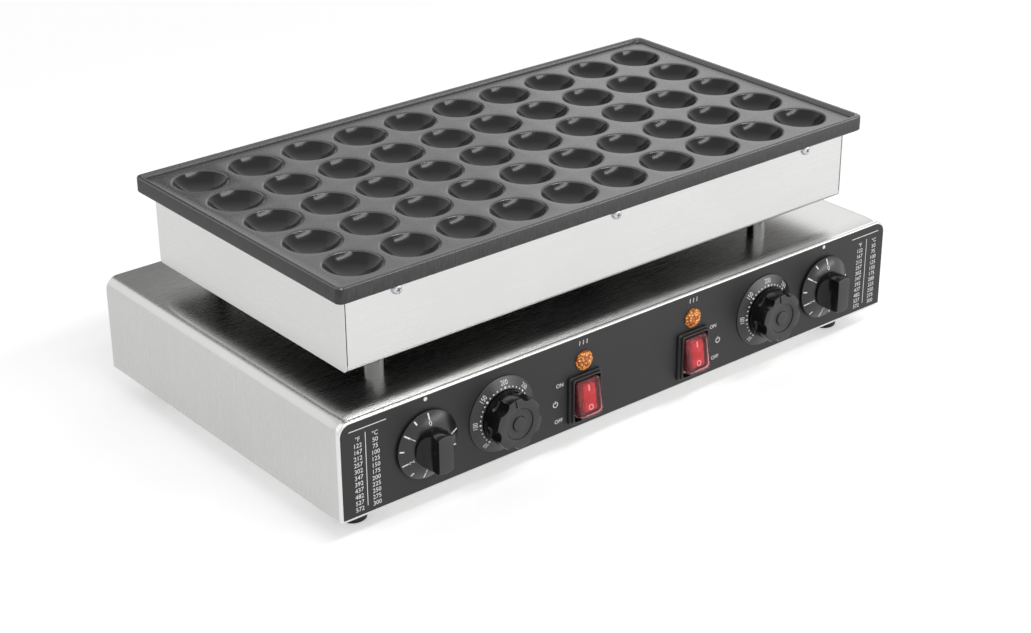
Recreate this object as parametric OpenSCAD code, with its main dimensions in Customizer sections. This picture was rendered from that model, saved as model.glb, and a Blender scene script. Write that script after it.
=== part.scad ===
// Table-top poffertjes maker: a cast plate of fifty hollows on a steel housing,
// carried by four posts over a steel base with two sets of controls.
// Millimetres, +Z up, front towards -Y, origin on the floor under the middle of the box.

/* [Base] */
// Width of the base, side to side
base_w = 526; // [500:1:560]
// Depth of the base, front face to back face
base_d = 300; // [285:1:330]
// Height of the base above its underside
base_h = 73.5; // [71:0.5:85]
// Thickness of the stainless sheet
sheet_t = 1; // [0.8:0.1:1.3]
// Outside radius of the bend along the base's top edges
bend_r = 10; // [7:0.5:14]
// Radius of the front panel's rolled edge
panel_roll_r = 1.5; // [0.8:0.1:2]
// Depth of the front panel's edge that shows ahead of the wrap
panel_depth = 3; // [2.5:0.25:5]
// Length of the front panel's lip inside the wrap
panel_lip = 12; // [8:1:16]
// Width of the flanges turned inwards
flange_w = 14; // [11:1:18]
// Thickness of the printed front film
overlay_t = 0.6; // [0.4:0.1:0.8]
// How far the underside sheet stays inside the base's outline
bottom_inset = 2; // [1:0.5:4]

/* [Feet] */
// Floor to the base's underside
foot_h = 20; // [14:0.5:26]
// Radius of a foot at its top
foot_r = 12; // [10:0.5:15]
// Radius of a foot where it stands
foot_tip_r = 10; // [9:0.5:13]
// Foot's centre from the base's side
foot_inset_x = 30; // [28:1:45]
// Foot's centre from the base's front and back
foot_inset_y = 32; // [28:1:45]

/* [Posts] */
// Open gap between base and upper housing
gap_h = 19; // [14:0.5:28]
// Radius of a post
post_r = 7.5; // [7:0.25:9]
// Radius of the wire bore through a post
post_bore_r = 4.2; // [3:0.1:4.6]
// Radius of a post's threaded ends
spigot_r = 6; // [5.6:0.1:6.5]
// Left posts' centre from the housing's left end
post_inset_left = 34.5; // [30:0.5:45]
// Right posts' centre from the housing's right end
post_inset_right = 73.5; // [66:0.5:80]
// Posts' centre from the housing's front and back
post_inset_y = 17.5; // [15:0.5:22]

/* [Upper housing] */
// Height of the housing's walls
housing_h = 55.5; // [52:0.5:70]
// Outside radius of the housing's lower bends
housing_bend_r = 3; // [2:0.25:5]
// How far the plate stands forward of the base's middle
plate_forward = 6; // [0:0.5:8]
// Thickness of the insulation board
board_t = 18; // [10:1:19]

/* [Baking plate] */
// Hollows along the plate
hollow_cols = 10; // [10:1:10]
// Hollows across the plate
hollow_rows = 5; // [5:1:5]
// Spacing of the hollows
hollow_pitch = 47; // [45:0.25:49]
// Diameter of a hollow at its edge
hollow_d = 41; // [36:0.5:42]
// Depth of a hollow
hollow_depth = 11; // [8:0.5:12]
// Last hollow's centre to the plate's end
plate_margin_x = 35; // [33:0.5:38]
// Last hollow's centre to the plate's front and back
plate_margin_y = 33.5; // [31:0.5:37]
// Height of the plate's rim
rim_h = 12; // [10:0.5:14]
// Width of the raised lip on the rim
lip_w = 3.5; // [3:0.25:5]
// Height of the lip above the plate's floor
lip_h = 3; // [2:0.25:4]
// Corner radius of the plate's rim
rim_r = 5; // [4:0.5:8]
// How far the rim stands out over the housing
plate_overhang = 10; // [8:0.5:12]
// Metal left under a hollow
hollow_floor_t = 5; // [4:0.5:7]
// Thickness of the skirt that hangs inside the housing
skirt_t = 9; // [8:0.5:12]
// Length of the skirt below the plate
skirt_h = 9; // [7:0.5:12]

/* [Heaters] */
// Radius of the tubular heater
element_r = 4; // [3:0.25:4.5]
// Straight leg's inner end from the plate's middle
element_inner_x = 34; // [30:1:40]
// Thickness of a clamp bar
clamp_t = 3; // [2:0.25:4]
// Width of a clamp bar
clamp_w = 16; // [14:0.5:20]
// Length of a thermostat's bulb
bulb_l = 90; // [60:1:96]
// Radius of the capillary
capillary_r = 1; // [0.8:0.1:1.5]

/* [Timers] */
// Timer axis from the middle of the base
timer_x = 193; // [190:0.5:200]
// Timer and thermostat axes above the base's underside
dial_h = 36.5; // [35:0.25:39]
// Radius of the timer's dial
dial_r = 25; // [23:0.25:26]
// Thickness of the dial
dial_t = 5.6; // [5:0.1:6.4]
// How far the dial's face rises from its edge to the grip
dial_rise = 4.2; // [2:0.1:4.6]
// Front of the timer's grip ahead of the base's front face
timer_reach = 22.5; // [20:0.25:28]
// Radius of the grip's round root
hub_r = 14.5; // [12.5:0.25:16]
// Width of the grip's bar
grip_w = 12; // [10:0.25:14]
// Side of the timer's case
timer_box = 40; // [36:0.5:42]
// Depth of the timer's case
timer_box_d = 34; // [30:0.5:36]

/* [Thermostats] */
// Thermostat axis from the middle of the base
thermostat_x = 128; // [124:0.5:132]
// Radius of the numbered bezel
bezel_r = 28.4; // [26:0.2:30]
// Thickness of the bezel
bezel_t = 4.2; // [3.8:0.1:4.8]
// How far the bezel's face rises from its edge to the knob
bezel_rise = 3.2; // [1.5:0.1:3.6]
// Radius of the thermostat's knob
knob_r = 19.5; // [18:0.25:21]
// Front of the knob ahead of the base's front face
knob_reach = 20.5; // [20:0.25:27]
// Flutes round the knob
knob_flutes = 6; // [5:1:8]
// Radius of a flute
flute_r = 6.5; // [5:0.25:8]
// Depth of a flute into the knob
flute_depth = 2.6; // [1.5:0.1:3.5]
// Angle of the knob's pointer from straight up, clockwise
pointer_angle = -12; // [-30:1:30]
// Side of the thermostat's case
thermostat_box = 34; // [30:0.5:36]
// Depth of the thermostat's case
thermostat_box_d = 32; // [28:0.5:34]

/* [Switches and lamps] */
// Switch and lamp axis from the middle of the base
switch_x = 53; // [48:0.5:58]
// Switch pivot above the base's underside
switch_h = 24.75; // [24:0.25:25.5]
// Width of the switch's frame
frame_w = 30; // [29.5:0.25:34]
// Height of the switch's frame
frame_h = 37.5; // [37:0.25:41]
// Width of the clear boot
boot_w = 22.5; // [21:0.25:23]
// Height of the clear boot
boot_h = 29; // [27:0.25:29.5]
// Wall of the clear boot
boot_t = 1; // [0.8:0.1:1.2]
// Front of the boot ahead of the base's front face
boot_reach = 8.8; // [8:0.2:10]
// Tilt of the rocker either way
rocker_tilt = 10.5; // [8:0.5:11]
// Lamp axis above the base's underside
lamp_h = 53; // [52:0.2:57]
// Radius of the lamp's lens flange
lamp_r = 7.5; // [6.5:0.25:8]
// Height of the lamp's dome
lamp_dome_h = 4; // [3:0.25:5.5]

/* [Back] */
// Gland's axis from the base's right side
gland_inset = 73; // [60:1:110]
// Gland's axis above the base's underside
gland_h = 34; // [30:1:42]
// Radius of the gland's bore for the cord
gland_bore_r = 4.5; // [3.5:0.25:5]
// Radius of the gland's thread
gland_thread_r = 8; // [7:0.25:9]
// How far the gland stands out behind the back face
gland_reach = 14; // [10:0.5:20]
// Length of an air slot
slot_l = 46; // [30:1:50]
// Height of an air slot
slot_w = 4.5; // [4:0.25:6]
// Air slots in a group
slot_count = 4; // [3:1:4]
// Spacing of the air slots
slot_pitch = 10; // [9:0.25:11]

/* [Fasteners] */
// Radius of a plate screw's head
plate_screw_head_r = 4; // [3.5:0.1:4.5]
// Height of a plate screw's head
plate_screw_head_h = 2.6; // [2:0.1:3.2]
// Radius of a plate screw's shank
plate_screw_r = 2.5; // [2:0.1:2.8]
// Spacing of the plate screws along the housing
plate_screw_pitch = 194; // [180:1:200]
// Plate screws below the rim
plate_screw_drop = 6.5; // [6:0.25:8]
// Radius of a sheet screw's head
sheet_screw_head_r = 3.6; // [3:0.1:4]
// Height of a sheet screw's head
sheet_screw_head_h = 2.2; // [1.6:0.1:2.6]
// Radius of a sheet screw's shank
sheet_screw_r = 1.9; // [1.5:0.1:2.2]
// Length of a sheet screw's shank
sheet_screw_l = 8; // [6:0.5:10]
// Radius of the studs and of the feet's screws
stud_r = 2.5; // [2:0.1:3]
// Thickness of the studs' nuts
stud_nut_h = 4; // [3:0.25:5]
// Thickness of the posts' nuts
post_nut_h = 5; // [4:0.25:6]
// Thickness of the nuts on the control bushes
control_nut_h = 2.2; // [1.8:0.1:2.4]

/* [Hidden] */
$fn = 48;

// Clearances
fit_gap = 0.3;      // between sheets that slot together
hole_gap = 0.1;     // round a screw, stud or bush in its hole
run_gap = 0.05;     // round a shaft that turns
touch_gap = 0.1;    // under a round piece that lies on a flat one
cut = 1;            // how far a cut runs past a face

// Depth stations
front_reach = max(timer_reach, knob_reach);
whole_d = front_reach + base_d + gland_reach;
front_y = front_reach - whole_d / 2;
back_y = front_y + base_d;
panel_y = front_y + overlay_t;
seam_y = panel_y + panel_depth;
panel_back_y = panel_y + sheet_t;
plate_y = (front_y + back_y) / 2 - plate_forward;

// Height stations
base_z = foot_h;
base_top_z = base_z + base_h;
house_z = base_top_z + gap_h;
rim_z = house_z + housing_h;
top_z = rim_z + rim_h;
floor_z = top_z - lip_h;
under_z = floor_z - hollow_depth - hollow_floor_t;
skirt_z = under_z - skirt_h;
dial_z = base_z + dial_h;
switch_z = base_z + switch_h;
lamp_z = base_z + lamp_h;

// Plate and housing in plan
plate_l = (hollow_cols - 1) * hollow_pitch + 2 * plate_margin_x;
plate_w = (hollow_rows - 1) * hollow_pitch + 2 * plate_margin_y;
house_l = plate_l - 2 * plate_overhang;
house_w = plate_w - 2 * plate_overhang;
core_l = house_l - 2 * sheet_t - 2 * fit_gap;
core_w = house_w - 2 * sheet_t - 2 * fit_gap;
hollow_r = hollow_d / 2;
hollow_ball_r = (hollow_r * hollow_r + hollow_depth * hollow_depth) / (2 * hollow_depth);

// Posts
post_xs = [post_inset_left - house_l / 2, house_l / 2 - post_inset_right];
post_ys = [plate_y - house_w / 2 + post_inset_y, plate_y + house_w / 2 - post_inset_y];
post_places = [for (x = post_xs, y = post_ys) [x, y]];
spigot_l = sheet_t + post_nut_h + 2;
post_nut_r = spigot_r * 1.75;

// Feet
foot_places = [for (sx = [-1, 1], y = [front_y + foot_inset_y, back_y - foot_inset_y])
  [sx * (base_w / 2 - foot_inset_x), y]];
foot_top_z = base_z - sheet_t;
foot_head_r = 2 * stud_r;
foot_head_h = 3;
foot_web = 9;
stud_nut_r = 1.9 * stud_r;

// Sheet edges
lip_in = sheet_t + fit_gap;
overlay_margin = panel_roll_r + fit_gap;
bottom_screw_ys = [for (k = [0.12, 0.5, 0.88]) front_y + k * base_d];
bottom_screw_places = [for (sx = [-1, 1], y = bottom_screw_ys) [sx * (base_w / 2 - flange_w / 2), y]];
back_screw_places = [for (sx = [-1, 1], z = [base_h * 0.25, base_h * 0.75])
  [sx * (base_w / 2 - flange_w / 2), base_z + z]];
plate_screw_xs = [for (k = [-1, 0, 1]) k * plate_screw_pitch];
plate_screw_z = rim_z - plate_screw_drop;

// Heaters
element_z = under_z - element_r - touch_gap;
clamp_z = under_z - 2 * element_r - 2 * touch_gap - clamp_t;
clamp_l = 3 * hollow_pitch + 2 * clamp_w;
clamp_xs = [for (sx = [-1, 1], k = [2, 4]) sx * k * hollow_pitch];
clamp_places = [for (x = clamp_xs, sy = [-1, 1]) [x, plate_y + sy * hollow_pitch]];
stud_seat = 4;
bend_in = element_inner_x + hollow_pitch / 2;
bend_out = 4 * hollow_pitch;
pin_l = 14;
pin_r = element_r / 2;
bulb_x = 2 * hollow_pitch;
capillary_bend = 5;
capillary_run_z = house_z + sheet_t + board_t + capillary_bend;
capillary_lead = 2 * capillary_bend;
capillary_room = 6;
capillary_drop_z = base_top_z - spigot_l - capillary_bend;
control_back_y = panel_back_y + max(timer_box_d, thermostat_box_d);
capillary_lane_y = max(post_ys[0] + capillary_lead, control_back_y + capillary_lead + capillary_room);

// Controls
bush_r = 5;
bush_out = 2.5;
shaft_r = 3;
shaft_in = 14;
shaft_seat = 10;
control_nut_r = 8;
nut_room_r = control_nut_r + 1.2;
dial_gap = 1.2;
hub_flare = 4;
knob_gap = 0.7;
knob_ring = 4.5;
knob_dish_r = 11.5;
knob_dish_depth = 1.2;
pointer_w = 1.4;
pointer_l = 6;
pointer_depth = 0.8;

// Switches
pivot_y = front_y + 1;
collar_h = 5;
collar_t = 1.5;
flange_t = 2.4;
boot_side_gap = 0.75;
collar_in_w = boot_w + 2 * boot_side_gap;
collar_mouth = collar_h + pivot_y - front_y;
boot_sweep = boot_h / 2 / cos(rocker_tilt) + collar_mouth * tan(rocker_tilt);
collar_in_h = 2 * (boot_sweep + fit_gap);
collar_w = collar_in_w + 2 * collar_t;
collar_out_h = collar_in_h + 2 * collar_t;
boot_front = boot_reach + pivot_y - front_y;
boot_back = 2;
boot_corner_r = 3.5;
rocker_w = boot_w - 2 * boot_t - 3;
rocker_half = boot_h / 2 - boot_t - 1.5;
rocker_front = boot_front - boot_t;
rocker_root = 3;
pivot_r = 1.5;
well_depth = 7;
switch_case_d = 20;
lamp_body_r = 4.8;
lamp_flange_t = 1.6;
lamp_dome_r = lamp_r - 0.8;
lamp_ball_r = (lamp_dome_r * lamp_dome_r + lamp_dome_h * lamp_dome_h) / (2 * lamp_dome_h);
lamp_body_l = 22;
lamp_nut_h = 4;
lamp_nut_r = 6.8;

// Wiring inside the base
gland_x = base_w / 2 - gland_inset;
gland_z = base_z + gland_h;
gland_hex_r = gland_thread_r * 1.35;
gland_nut_h = 5;
gland_inner = sheet_t + gland_nut_h + 3;
block_w = 60;
block_d = 24;
block_h = 22;
block_from_gland = 70;
block_from_back = 75;
block_x = gland_x - block_from_gland;
block_y = back_y - block_from_back;
block_port_z = base_z + block_h / 2;
loom_r = 3;
loom_bend = 8;
earth_from_gland = 30;
earth_from_back = 90;
earth_x = gland_x + earth_from_gland;
earth_y = back_y - earth_from_back;
earth_l = 16;

// Helpers

// A profile drawn in X and Z, run from y0 to y1
module along_y(y0, y1) translate([0, y1, 0]) rotate([90, 0, 0]) linear_extrude(y1 - y0) children();

// A profile drawn in Y and Z, run from x0 to x1
module along_x(x0, x1) translate([x0, 0, 0]) rotate([90, 0, 90]) linear_extrude(x1 - x0) children();

// A round bar along Y
module rod_y(r, y0, y1) translate([0, y0, 0]) rotate([-90, 0, 0]) cylinder(r = r, h = y1 - y0);

// A round bar along X
module rod_x(r, x0, x1) translate([x0, 0, 0]) rotate([0, 90, 0]) cylinder(r = r, h = x1 - x0);

// A flat outline with round upper corners, standing on its lower edge
module arch(w, h, r) {
  translate([-w / 2, 0]) square([w, h - r]);
  translate([r - w / 2, 0]) square([w - 2 * r, h]);
  for (s = [-1, 1]) translate([s * (w / 2 - r), h - r]) circle(r);
}

// The same outline with its round corners below
module trough(w, h, r) translate([0, h]) mirror([0, 1]) arch(w, h, r);

// A rectangle with four round corners
module round_rect(w, h, r) {
  square([w - 2 * r, h], center = true);
  square([w, h - 2 * r], center = true);
  for (sx = [-1, 1], sy = [-1, 1]) translate([sx * (w / 2 - r), sy * (h / 2 - r)]) circle(r);
}

// A slot with round ends
module slot(l, w) {
  square([l - w, w], center = true);
  for (s = [-1, 1]) translate([s * (l - w) / 2, 0]) circle(w / 2);
}

// A hexagon nut along Z with a bore
module hex_nut(r, h, bore) difference() {
  cylinder(r = r, h = h, $fn = 6);
  translate([0, 0, -cut]) cylinder(r = bore, h = h + 2 * cut);
}

// A hexagon nut along Y with a bore
module hex_nut_y(r, y0, y1, bore) translate([0, y0, 0]) rotate([-90, 0, 0]) hex_nut(r, y1 - y0, bore);

// A pan-head screw along Z, head down, with a cross recess
module pan_screw(head_r, head_h, r, l) difference() {
  union() {
    cylinder(r = r, h = l);
    translate([0, 0, -head_h]) cylinder(r1 = head_r * 0.8, r2 = head_r, h = head_h);
  }
  for (a = [0, 90]) rotate([0, 0, a])
    translate([0, 0, -head_h]) cube([head_r, head_r / 4, head_h], center = true);
}

// A round tube through points joined by square corners
module bent_tube(points, r, bend) {
  last = len(points) - 1;
  for (i = [0 : last - 1]) {
    run = points[i + 1] - points[i];
    d = run / norm(run);
    a = points[i] + (i == 0 ? 0 : bend) * d;
    b = points[i + 1] - (i == last - 1 ? 0 : bend) * d;
    turned(a, d) cylinder(r = r, h = norm(b - a));
  }
  for (i = [1 : last - 1]) {
    into = (points[i] - points[i - 1]) / norm(points[i] - points[i - 1]);
    out = (points[i + 1] - points[i]) / norm(points[i + 1] - points[i]);
    centre = points[i] - bend * into + bend * out;
    side = cross(-out, into);
    multmatrix([[-out[0], into[0], side[0], centre[0]], [-out[1], into[1], side[1], centre[1]],
      [-out[2], into[2], side[2], centre[2]], [0, 0, 0, 1]])
      rotate_extrude(angle = 90) translate([bend, 0]) circle(r);
  }
}

// Children set at a point with their Z along a row axis
module turned(place, d) translate(place)
  rotate(d[2] != 0 ? [d[2] > 0 ? 0 : 180, 0, 0] : (d[0] != 0 ? [0, d[0] * 90, 0] : [-d[1] * 90, 0, 0]))
    children();

// Openings through the front panel and its film
module control_openings(y0, y1, room) {
  for (s = [-1, 1]) {
    for (x = [timer_x, thermostat_x]) translate([s * x, 0, dial_z]) rod_y(bush_r + room, y0, y1);
    translate([s * switch_x, 0, lamp_z]) rod_y(lamp_body_r + room, y0, y1);
    along_y(y0, y1) translate([s * switch_x, switch_z])
      square([collar_w + 2 * room, collar_out_h + 2 * room], center = true);
  }
}

// Base

module base_shell() color("gainsboro") difference() {
  union() {
    along_y(seam_y, back_y) translate([0, base_z]) difference() {
      arch(base_w, base_h, bend_r);
      translate([0, -cut]) arch(base_w - 2 * sheet_t, base_h - sheet_t + cut, bend_r - sheet_t);
    }
    for (s = [-1, 1]) along_y(seam_y, back_y - sheet_t)
      translate([s * (base_w - flange_w) / 2, base_z + sheet_t / 2])
        square([flange_w, sheet_t], center = true);
    along_y(back_y - 2 * sheet_t, back_y - sheet_t) translate([0, base_z]) difference() {
      arch(base_w, base_h, bend_r);
      translate([-base_w / 2 + flange_w, -cut]) square([base_w - 2 * flange_w, base_h - flange_w + cut]);
    }
  }
  for (p = post_places) translate([p[0], p[1], base_top_z - sheet_t - cut])
    cylinder(r = spigot_r + hole_gap, h = sheet_t + 2 * cut);
  for (p = bottom_screw_places) translate([p[0], p[1], base_z - cut])
    cylinder(r = sheet_screw_r + hole_gap, h = sheet_t + 2 * cut);
  for (p = back_screw_places) translate([p[0], 0, p[1]])
    rod_y(sheet_screw_r + hole_gap, back_y - 2 * sheet_t - cut, back_y - sheet_t + cut);
}

// The pressed pan's face and its rolled edge, as a full block
module rolled_pan() {
  r = panel_roll_r;
  along_y(panel_y + r, seam_y - fit_gap) translate([0, base_z]) arch(base_w, base_h, bend_r);
  along_y(panel_y, panel_y + 2 * r) translate([0, base_z + r])
    arch(base_w - 2 * r, base_h - 2 * r, bend_r - r);
  translate([0, panel_y + r, base_z]) {
    translate([0, 0, r]) rod_x(r, r - base_w / 2, base_w / 2 - r);
    translate([0, 0, base_h - r]) rod_x(r, bend_r - base_w / 2, base_w / 2 - bend_r);
    for (s = [-1, 1]) {
      translate([s * (base_w / 2 - r), 0, r]) {
        cylinder(r = r, h = base_h - bend_r - r);
        sphere(r);
      }
      translate([s * (base_w / 2 - bend_r), 0, base_h - bend_r])
        rotate([90, 0, 0]) rotate([0, 0, s > 0 ? 0 : 90])
          rotate_extrude(angle = 90) translate([bend_r - r, 0]) circle(r);
    }
  }
}

module front_panel() color("silver") difference() {
  union() {
    rolled_pan();
    along_y(seam_y - fit_gap - cut, seam_y + panel_lip) translate([0, base_z + lip_in])
      arch(base_w - 2 * lip_in, base_h - 2 * lip_in, bend_r - lip_in);
  }
  along_y(panel_back_y, seam_y + panel_lip + cut) translate([0, base_z + lip_in + sheet_t])
    arch(base_w - 2 * (lip_in + sheet_t), base_h - 2 * (lip_in + sheet_t), bend_r - lip_in - sheet_t);
  control_openings(panel_y - cut, panel_back_y + cut, hole_gap);
}

module control_overlay() color("dimgray") difference() {
  along_y(front_y, panel_y) translate([0, base_z + overlay_margin])
    arch(base_w - 2 * overlay_margin, base_h - 2 * overlay_margin, bend_r - overlay_margin);
  control_openings(front_y - cut, panel_y + cut, hole_gap);
}

module air_slots() for (k = [0 : slot_count - 1])
  translate([0, (k - (slot_count - 1) / 2) * slot_pitch]) slot(slot_l, slot_w);

module back_panel() color("silver") difference() {
  union() {
    along_y(back_y - sheet_t, back_y) translate([0, base_z])
      arch(base_w - 2 * lip_in, base_h - lip_in, bend_r - lip_in);
    along_y(back_y - flange_w, back_y) translate([0, base_z + sheet_t / 2])
      square([base_w - 2 * flange_w - 2 * fit_gap, sheet_t], center = true);
  }
  for (s = [-1, 1]) along_y(back_y - sheet_t - cut, back_y + cut)
    translate([s * base_w / 6, base_z + base_h / 2]) air_slots();
  translate([gland_x, 0, gland_z]) rod_y(gland_thread_r + hole_gap, back_y - sheet_t - cut, back_y + cut);
  for (p = back_screw_places) translate([p[0], 0, p[1]])
    rod_y(sheet_screw_r + hole_gap, back_y - sheet_t - cut, back_y + cut);
}

module bottom_plate() color("darkgray") difference() {
  translate([bottom_inset - base_w / 2, front_y + bottom_inset, foot_top_z])
    cube([base_w - 2 * bottom_inset, base_d - 2 * bottom_inset, sheet_t]);
  for (sx = [-1, 1]) translate([sx * base_w / 5, (front_y + back_y) / 2, foot_top_z - cut])
    linear_extrude(sheet_t + 2 * cut) air_slots();
  for (p = foot_places) translate([p[0], p[1], foot_top_z - cut])
    cylinder(r = stud_r + hole_gap, h = sheet_t + 2 * cut);
  for (p = bottom_screw_places) translate([p[0], p[1], foot_top_z - cut])
    cylinder(r = sheet_screw_r + hole_gap, h = sheet_t + 2 * cut);
  translate([earth_x, earth_y, foot_top_z - cut]) cylinder(r = stud_r + hole_gap, h = sheet_t + 2 * cut);
}

module rubber_feet() color("#1c1c1c") for (p = foot_places) translate([p[0], p[1], 0]) difference() {
  cylinder(r1 = foot_tip_r, r2 = foot_r, h = foot_top_z);
  translate([0, 0, -cut]) cylinder(r = foot_head_r + 2 * hole_gap, h = foot_top_z - foot_web + cut);
  cylinder(r = stud_r + hole_gap, h = foot_top_z + cut);
}

module foot_screws() color("lightgray") for (p = foot_places)
  translate([p[0], p[1], foot_top_z - foot_web])
    pan_screw(foot_head_r, foot_head_h, stud_r, foot_web + sheet_t + stud_nut_h + 1);

module foot_nuts() color("lightgray") for (p = foot_places) translate([p[0], p[1], base_z])
  hex_nut(stud_nut_r, stud_nut_h, stud_r + hole_gap);

module sheet_screw() pan_screw(sheet_screw_head_r, sheet_screw_head_h, sheet_screw_r, sheet_screw_l);

module bottom_screws() color("lightgray") for (p = bottom_screw_places)
  translate([p[0], p[1], foot_top_z]) sheet_screw();

module back_screws() color("lightgray") for (p = back_screw_places) translate([p[0], back_y, p[1]])
  rotate([90, 0, 0]) sheet_screw();

// Posts

module support_posts() color("silver") for (p = post_places) translate([p[0], p[1], 0]) difference() {
  union() {
    translate([0, 0, base_top_z]) cylinder(r = post_r, h = gap_h);
    translate([0, 0, base_top_z - spigot_l]) cylinder(r = spigot_r, h = gap_h + 2 * spigot_l);
  }
  translate([0, 0, base_top_z - spigot_l - cut])
    cylinder(r = post_bore_r, h = gap_h + 2 * (spigot_l + cut));
}

module post_nuts() color("lightgray") for (p = post_places)
  for (z = [base_top_z - sheet_t - post_nut_h, house_z + sheet_t])
    translate([p[0], p[1], z]) hex_nut(post_nut_r, post_nut_h, spigot_r + hole_gap);

// Upper housing

module housing_tray() color("whitesmoke") difference() {
  along_x(lip_in - house_l / 2, house_l / 2 - lip_in) translate([plate_y, house_z]) difference() {
    trough(house_w, housing_h, housing_bend_r);
    translate([0, sheet_t]) trough(house_w - 2 * sheet_t, housing_h, housing_bend_r - sheet_t);
  }
  for (p = post_places) translate([p[0], p[1], house_z - cut])
    cylinder(r = spigot_r + hole_gap, h = sheet_t + 2 * cut);
  for (x = plate_screw_xs, s = [-1, 1]) translate([x, plate_y + s * house_w / 2, plate_screw_z])
    rod_y(plate_screw_r + hole_gap, -sheet_t - cut, sheet_t + cut);
}

// An end sheet with a flange that slides inside the tray, built for the right end
module housing_end() {
  inset = sheet_t + fit_gap;
  along_x(house_l / 2 - sheet_t, house_l / 2) translate([plate_y, house_z])
    trough(house_w, housing_h, housing_bend_r);
  along_x(house_l / 2 - flange_w, house_l / 2 - sheet_t / 2)
    translate([plate_y, house_z + inset]) difference() {
      trough(house_w - 2 * inset, skirt_z - house_z - 2 * inset, housing_bend_r);
      translate([0, sheet_t]) trough(house_w - 2 * inset - 2 * sheet_t, housing_h, housing_bend_r);
    }
}

module housing_end_left() color("whitesmoke") mirror([1, 0, 0]) housing_end();

module housing_end_right() color("whitesmoke") housing_end();

module insulation_board() color("beige") {
  room = flange_w + fit_gap;
  translate([0, plate_y, house_z + sheet_t]) linear_extrude(board_t) difference() {
    square([house_l - 2 * room, house_w - 2 * (sheet_t + housing_bend_r)], center = true);
    for (p = post_places) translate([p[0], p[1] - plate_y]) circle(post_nut_r + 1);
  }
}

// Plate

module hollow_balls() for (i = [0 : hollow_cols - 1], j = [0 : hollow_rows - 1])
  translate([(i - (hollow_cols - 1) / 2) * hollow_pitch, (j - (hollow_rows - 1) / 2) * hollow_pitch,
    floor_z - hollow_depth + hollow_ball_r]) sphere(hollow_ball_r);

module baking_plate() color("#3a3a3a") translate([0, plate_y, 0]) difference() {
  union() {
    translate([0, 0, rim_z]) linear_extrude(rim_h) round_rect(plate_l, plate_w, rim_r);
    translate([0, 0, under_z]) linear_extrude(rim_z - under_z + cut)
      square([core_l, core_w], center = true);
    translate([0, 0, skirt_z]) linear_extrude(under_z - skirt_z + cut) difference() {
      square([core_l, core_w], center = true);
      square([core_l - 2 * skirt_t, core_w - 2 * skirt_t], center = true);
    }
  }
  translate([0, 0, floor_z]) linear_extrude(rim_h)
    round_rect(plate_l - 2 * lip_w, plate_w - 2 * lip_w, rim_r - lip_w / 2);
  hollow_balls();
  for (p = clamp_places) translate([p[0], p[1] - plate_y, under_z - cut])
    cylinder(r = stud_r + hole_gap, h = stud_seat + cut);
  for (x = plate_screw_xs, s = [-1, 1]) translate([x, s * core_w / 2, plate_screw_z])
    rod_y(plate_screw_r + hole_gap, -skirt_t + cut, skirt_t - cut);
}

module plate_screws() color("lightgray") for (x = plate_screw_xs, s = [-1, 1])
  translate([x, plate_y + s * house_w / 2, plate_screw_z]) rotate([s * 90, 0, 0])
    pan_screw(plate_screw_head_r, plate_screw_head_h, plate_screw_r, skirt_t);

// Heaters

// One serpentine heater of four legs and two pins, built for the right half
module heater() translate([0, plate_y, element_z]) {
  for (k = [-1.5, -0.5, 0.5, 1.5]) {
    inner = abs(k) > 1 ? element_inner_x : bend_in;
    translate([0, k * hollow_pitch, 0]) rod_x(element_r, inner, bend_out);
  }
  for (s = [-1, 1]) {
    translate([bend_out, s * hollow_pitch, 0]) rotate([0, 0, -90])
      rotate_extrude(angle = 180) translate([hollow_pitch / 2, 0]) circle(element_r);
    translate([0, s * 1.5 * hollow_pitch, 0]) rod_x(pin_r, element_inner_x - pin_l, element_inner_x + cut);
  }
  translate([bend_in, 0, 0]) rotate([0, 0, 90])
    rotate_extrude(angle = 180) translate([hollow_pitch / 2, 0]) circle(element_r);
}

module element_left() color("slategray") mirror([1, 0, 0]) heater();

module element_right() color("slategray") heater();

module clamp_bars() color("silver") for (x = clamp_xs) translate([x, plate_y, clamp_z]) difference() {
  translate([-clamp_w / 2, -clamp_l / 2, 0]) cube([clamp_w, clamp_l, clamp_t]);
  for (s = [-1, 1]) translate([0, s * hollow_pitch, -cut])
    cylinder(r = stud_r + hole_gap, h = clamp_t + 2 * cut);
}

module clamp_studs() color("lightgray") for (p = clamp_places)
  translate([p[0], p[1], clamp_z - stud_nut_h - 1])
    cylinder(r = stud_r, h = under_z + stud_seat - clamp_z + stud_nut_h + 1);

module clamp_nuts() color("lightgray") for (p = clamp_places) translate([p[0], p[1], clamp_z - stud_nut_h])
  hex_nut(stud_nut_r, stud_nut_h, stud_r + hole_gap);

// A thermostat's bulb under the plate and its capillary down through a front post
module sensor(s, post_x) {
  bulb_end = s * (bulb_x + bulb_l / 2);
  drop_x = bulb_end + s * capillary_lead;
  rear_y = panel_back_y + thermostat_box_d;
  translate([s * bulb_x, plate_y, element_z]) rod_x(element_r, -bulb_l / 2, bulb_l / 2);
  bent_tube([[bulb_end, plate_y, element_z], [drop_x, plate_y, element_z],
    [drop_x, plate_y, capillary_run_z], [post_x, plate_y, capillary_run_z],
    [post_x, post_ys[0], capillary_run_z], [post_x, post_ys[0], capillary_drop_z],
    [post_x, capillary_lane_y, capillary_drop_z], [post_x, capillary_lane_y, dial_z],
    [s * thermostat_x, capillary_lane_y, dial_z], [s * thermostat_x, rear_y, dial_z]],
    capillary_r, capillary_bend);
}

module sensor_left() color("peru") sensor(-1, post_xs[0]);

module sensor_right() color("peru") sensor(1, post_xs[1]);

// Dial controls

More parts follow.
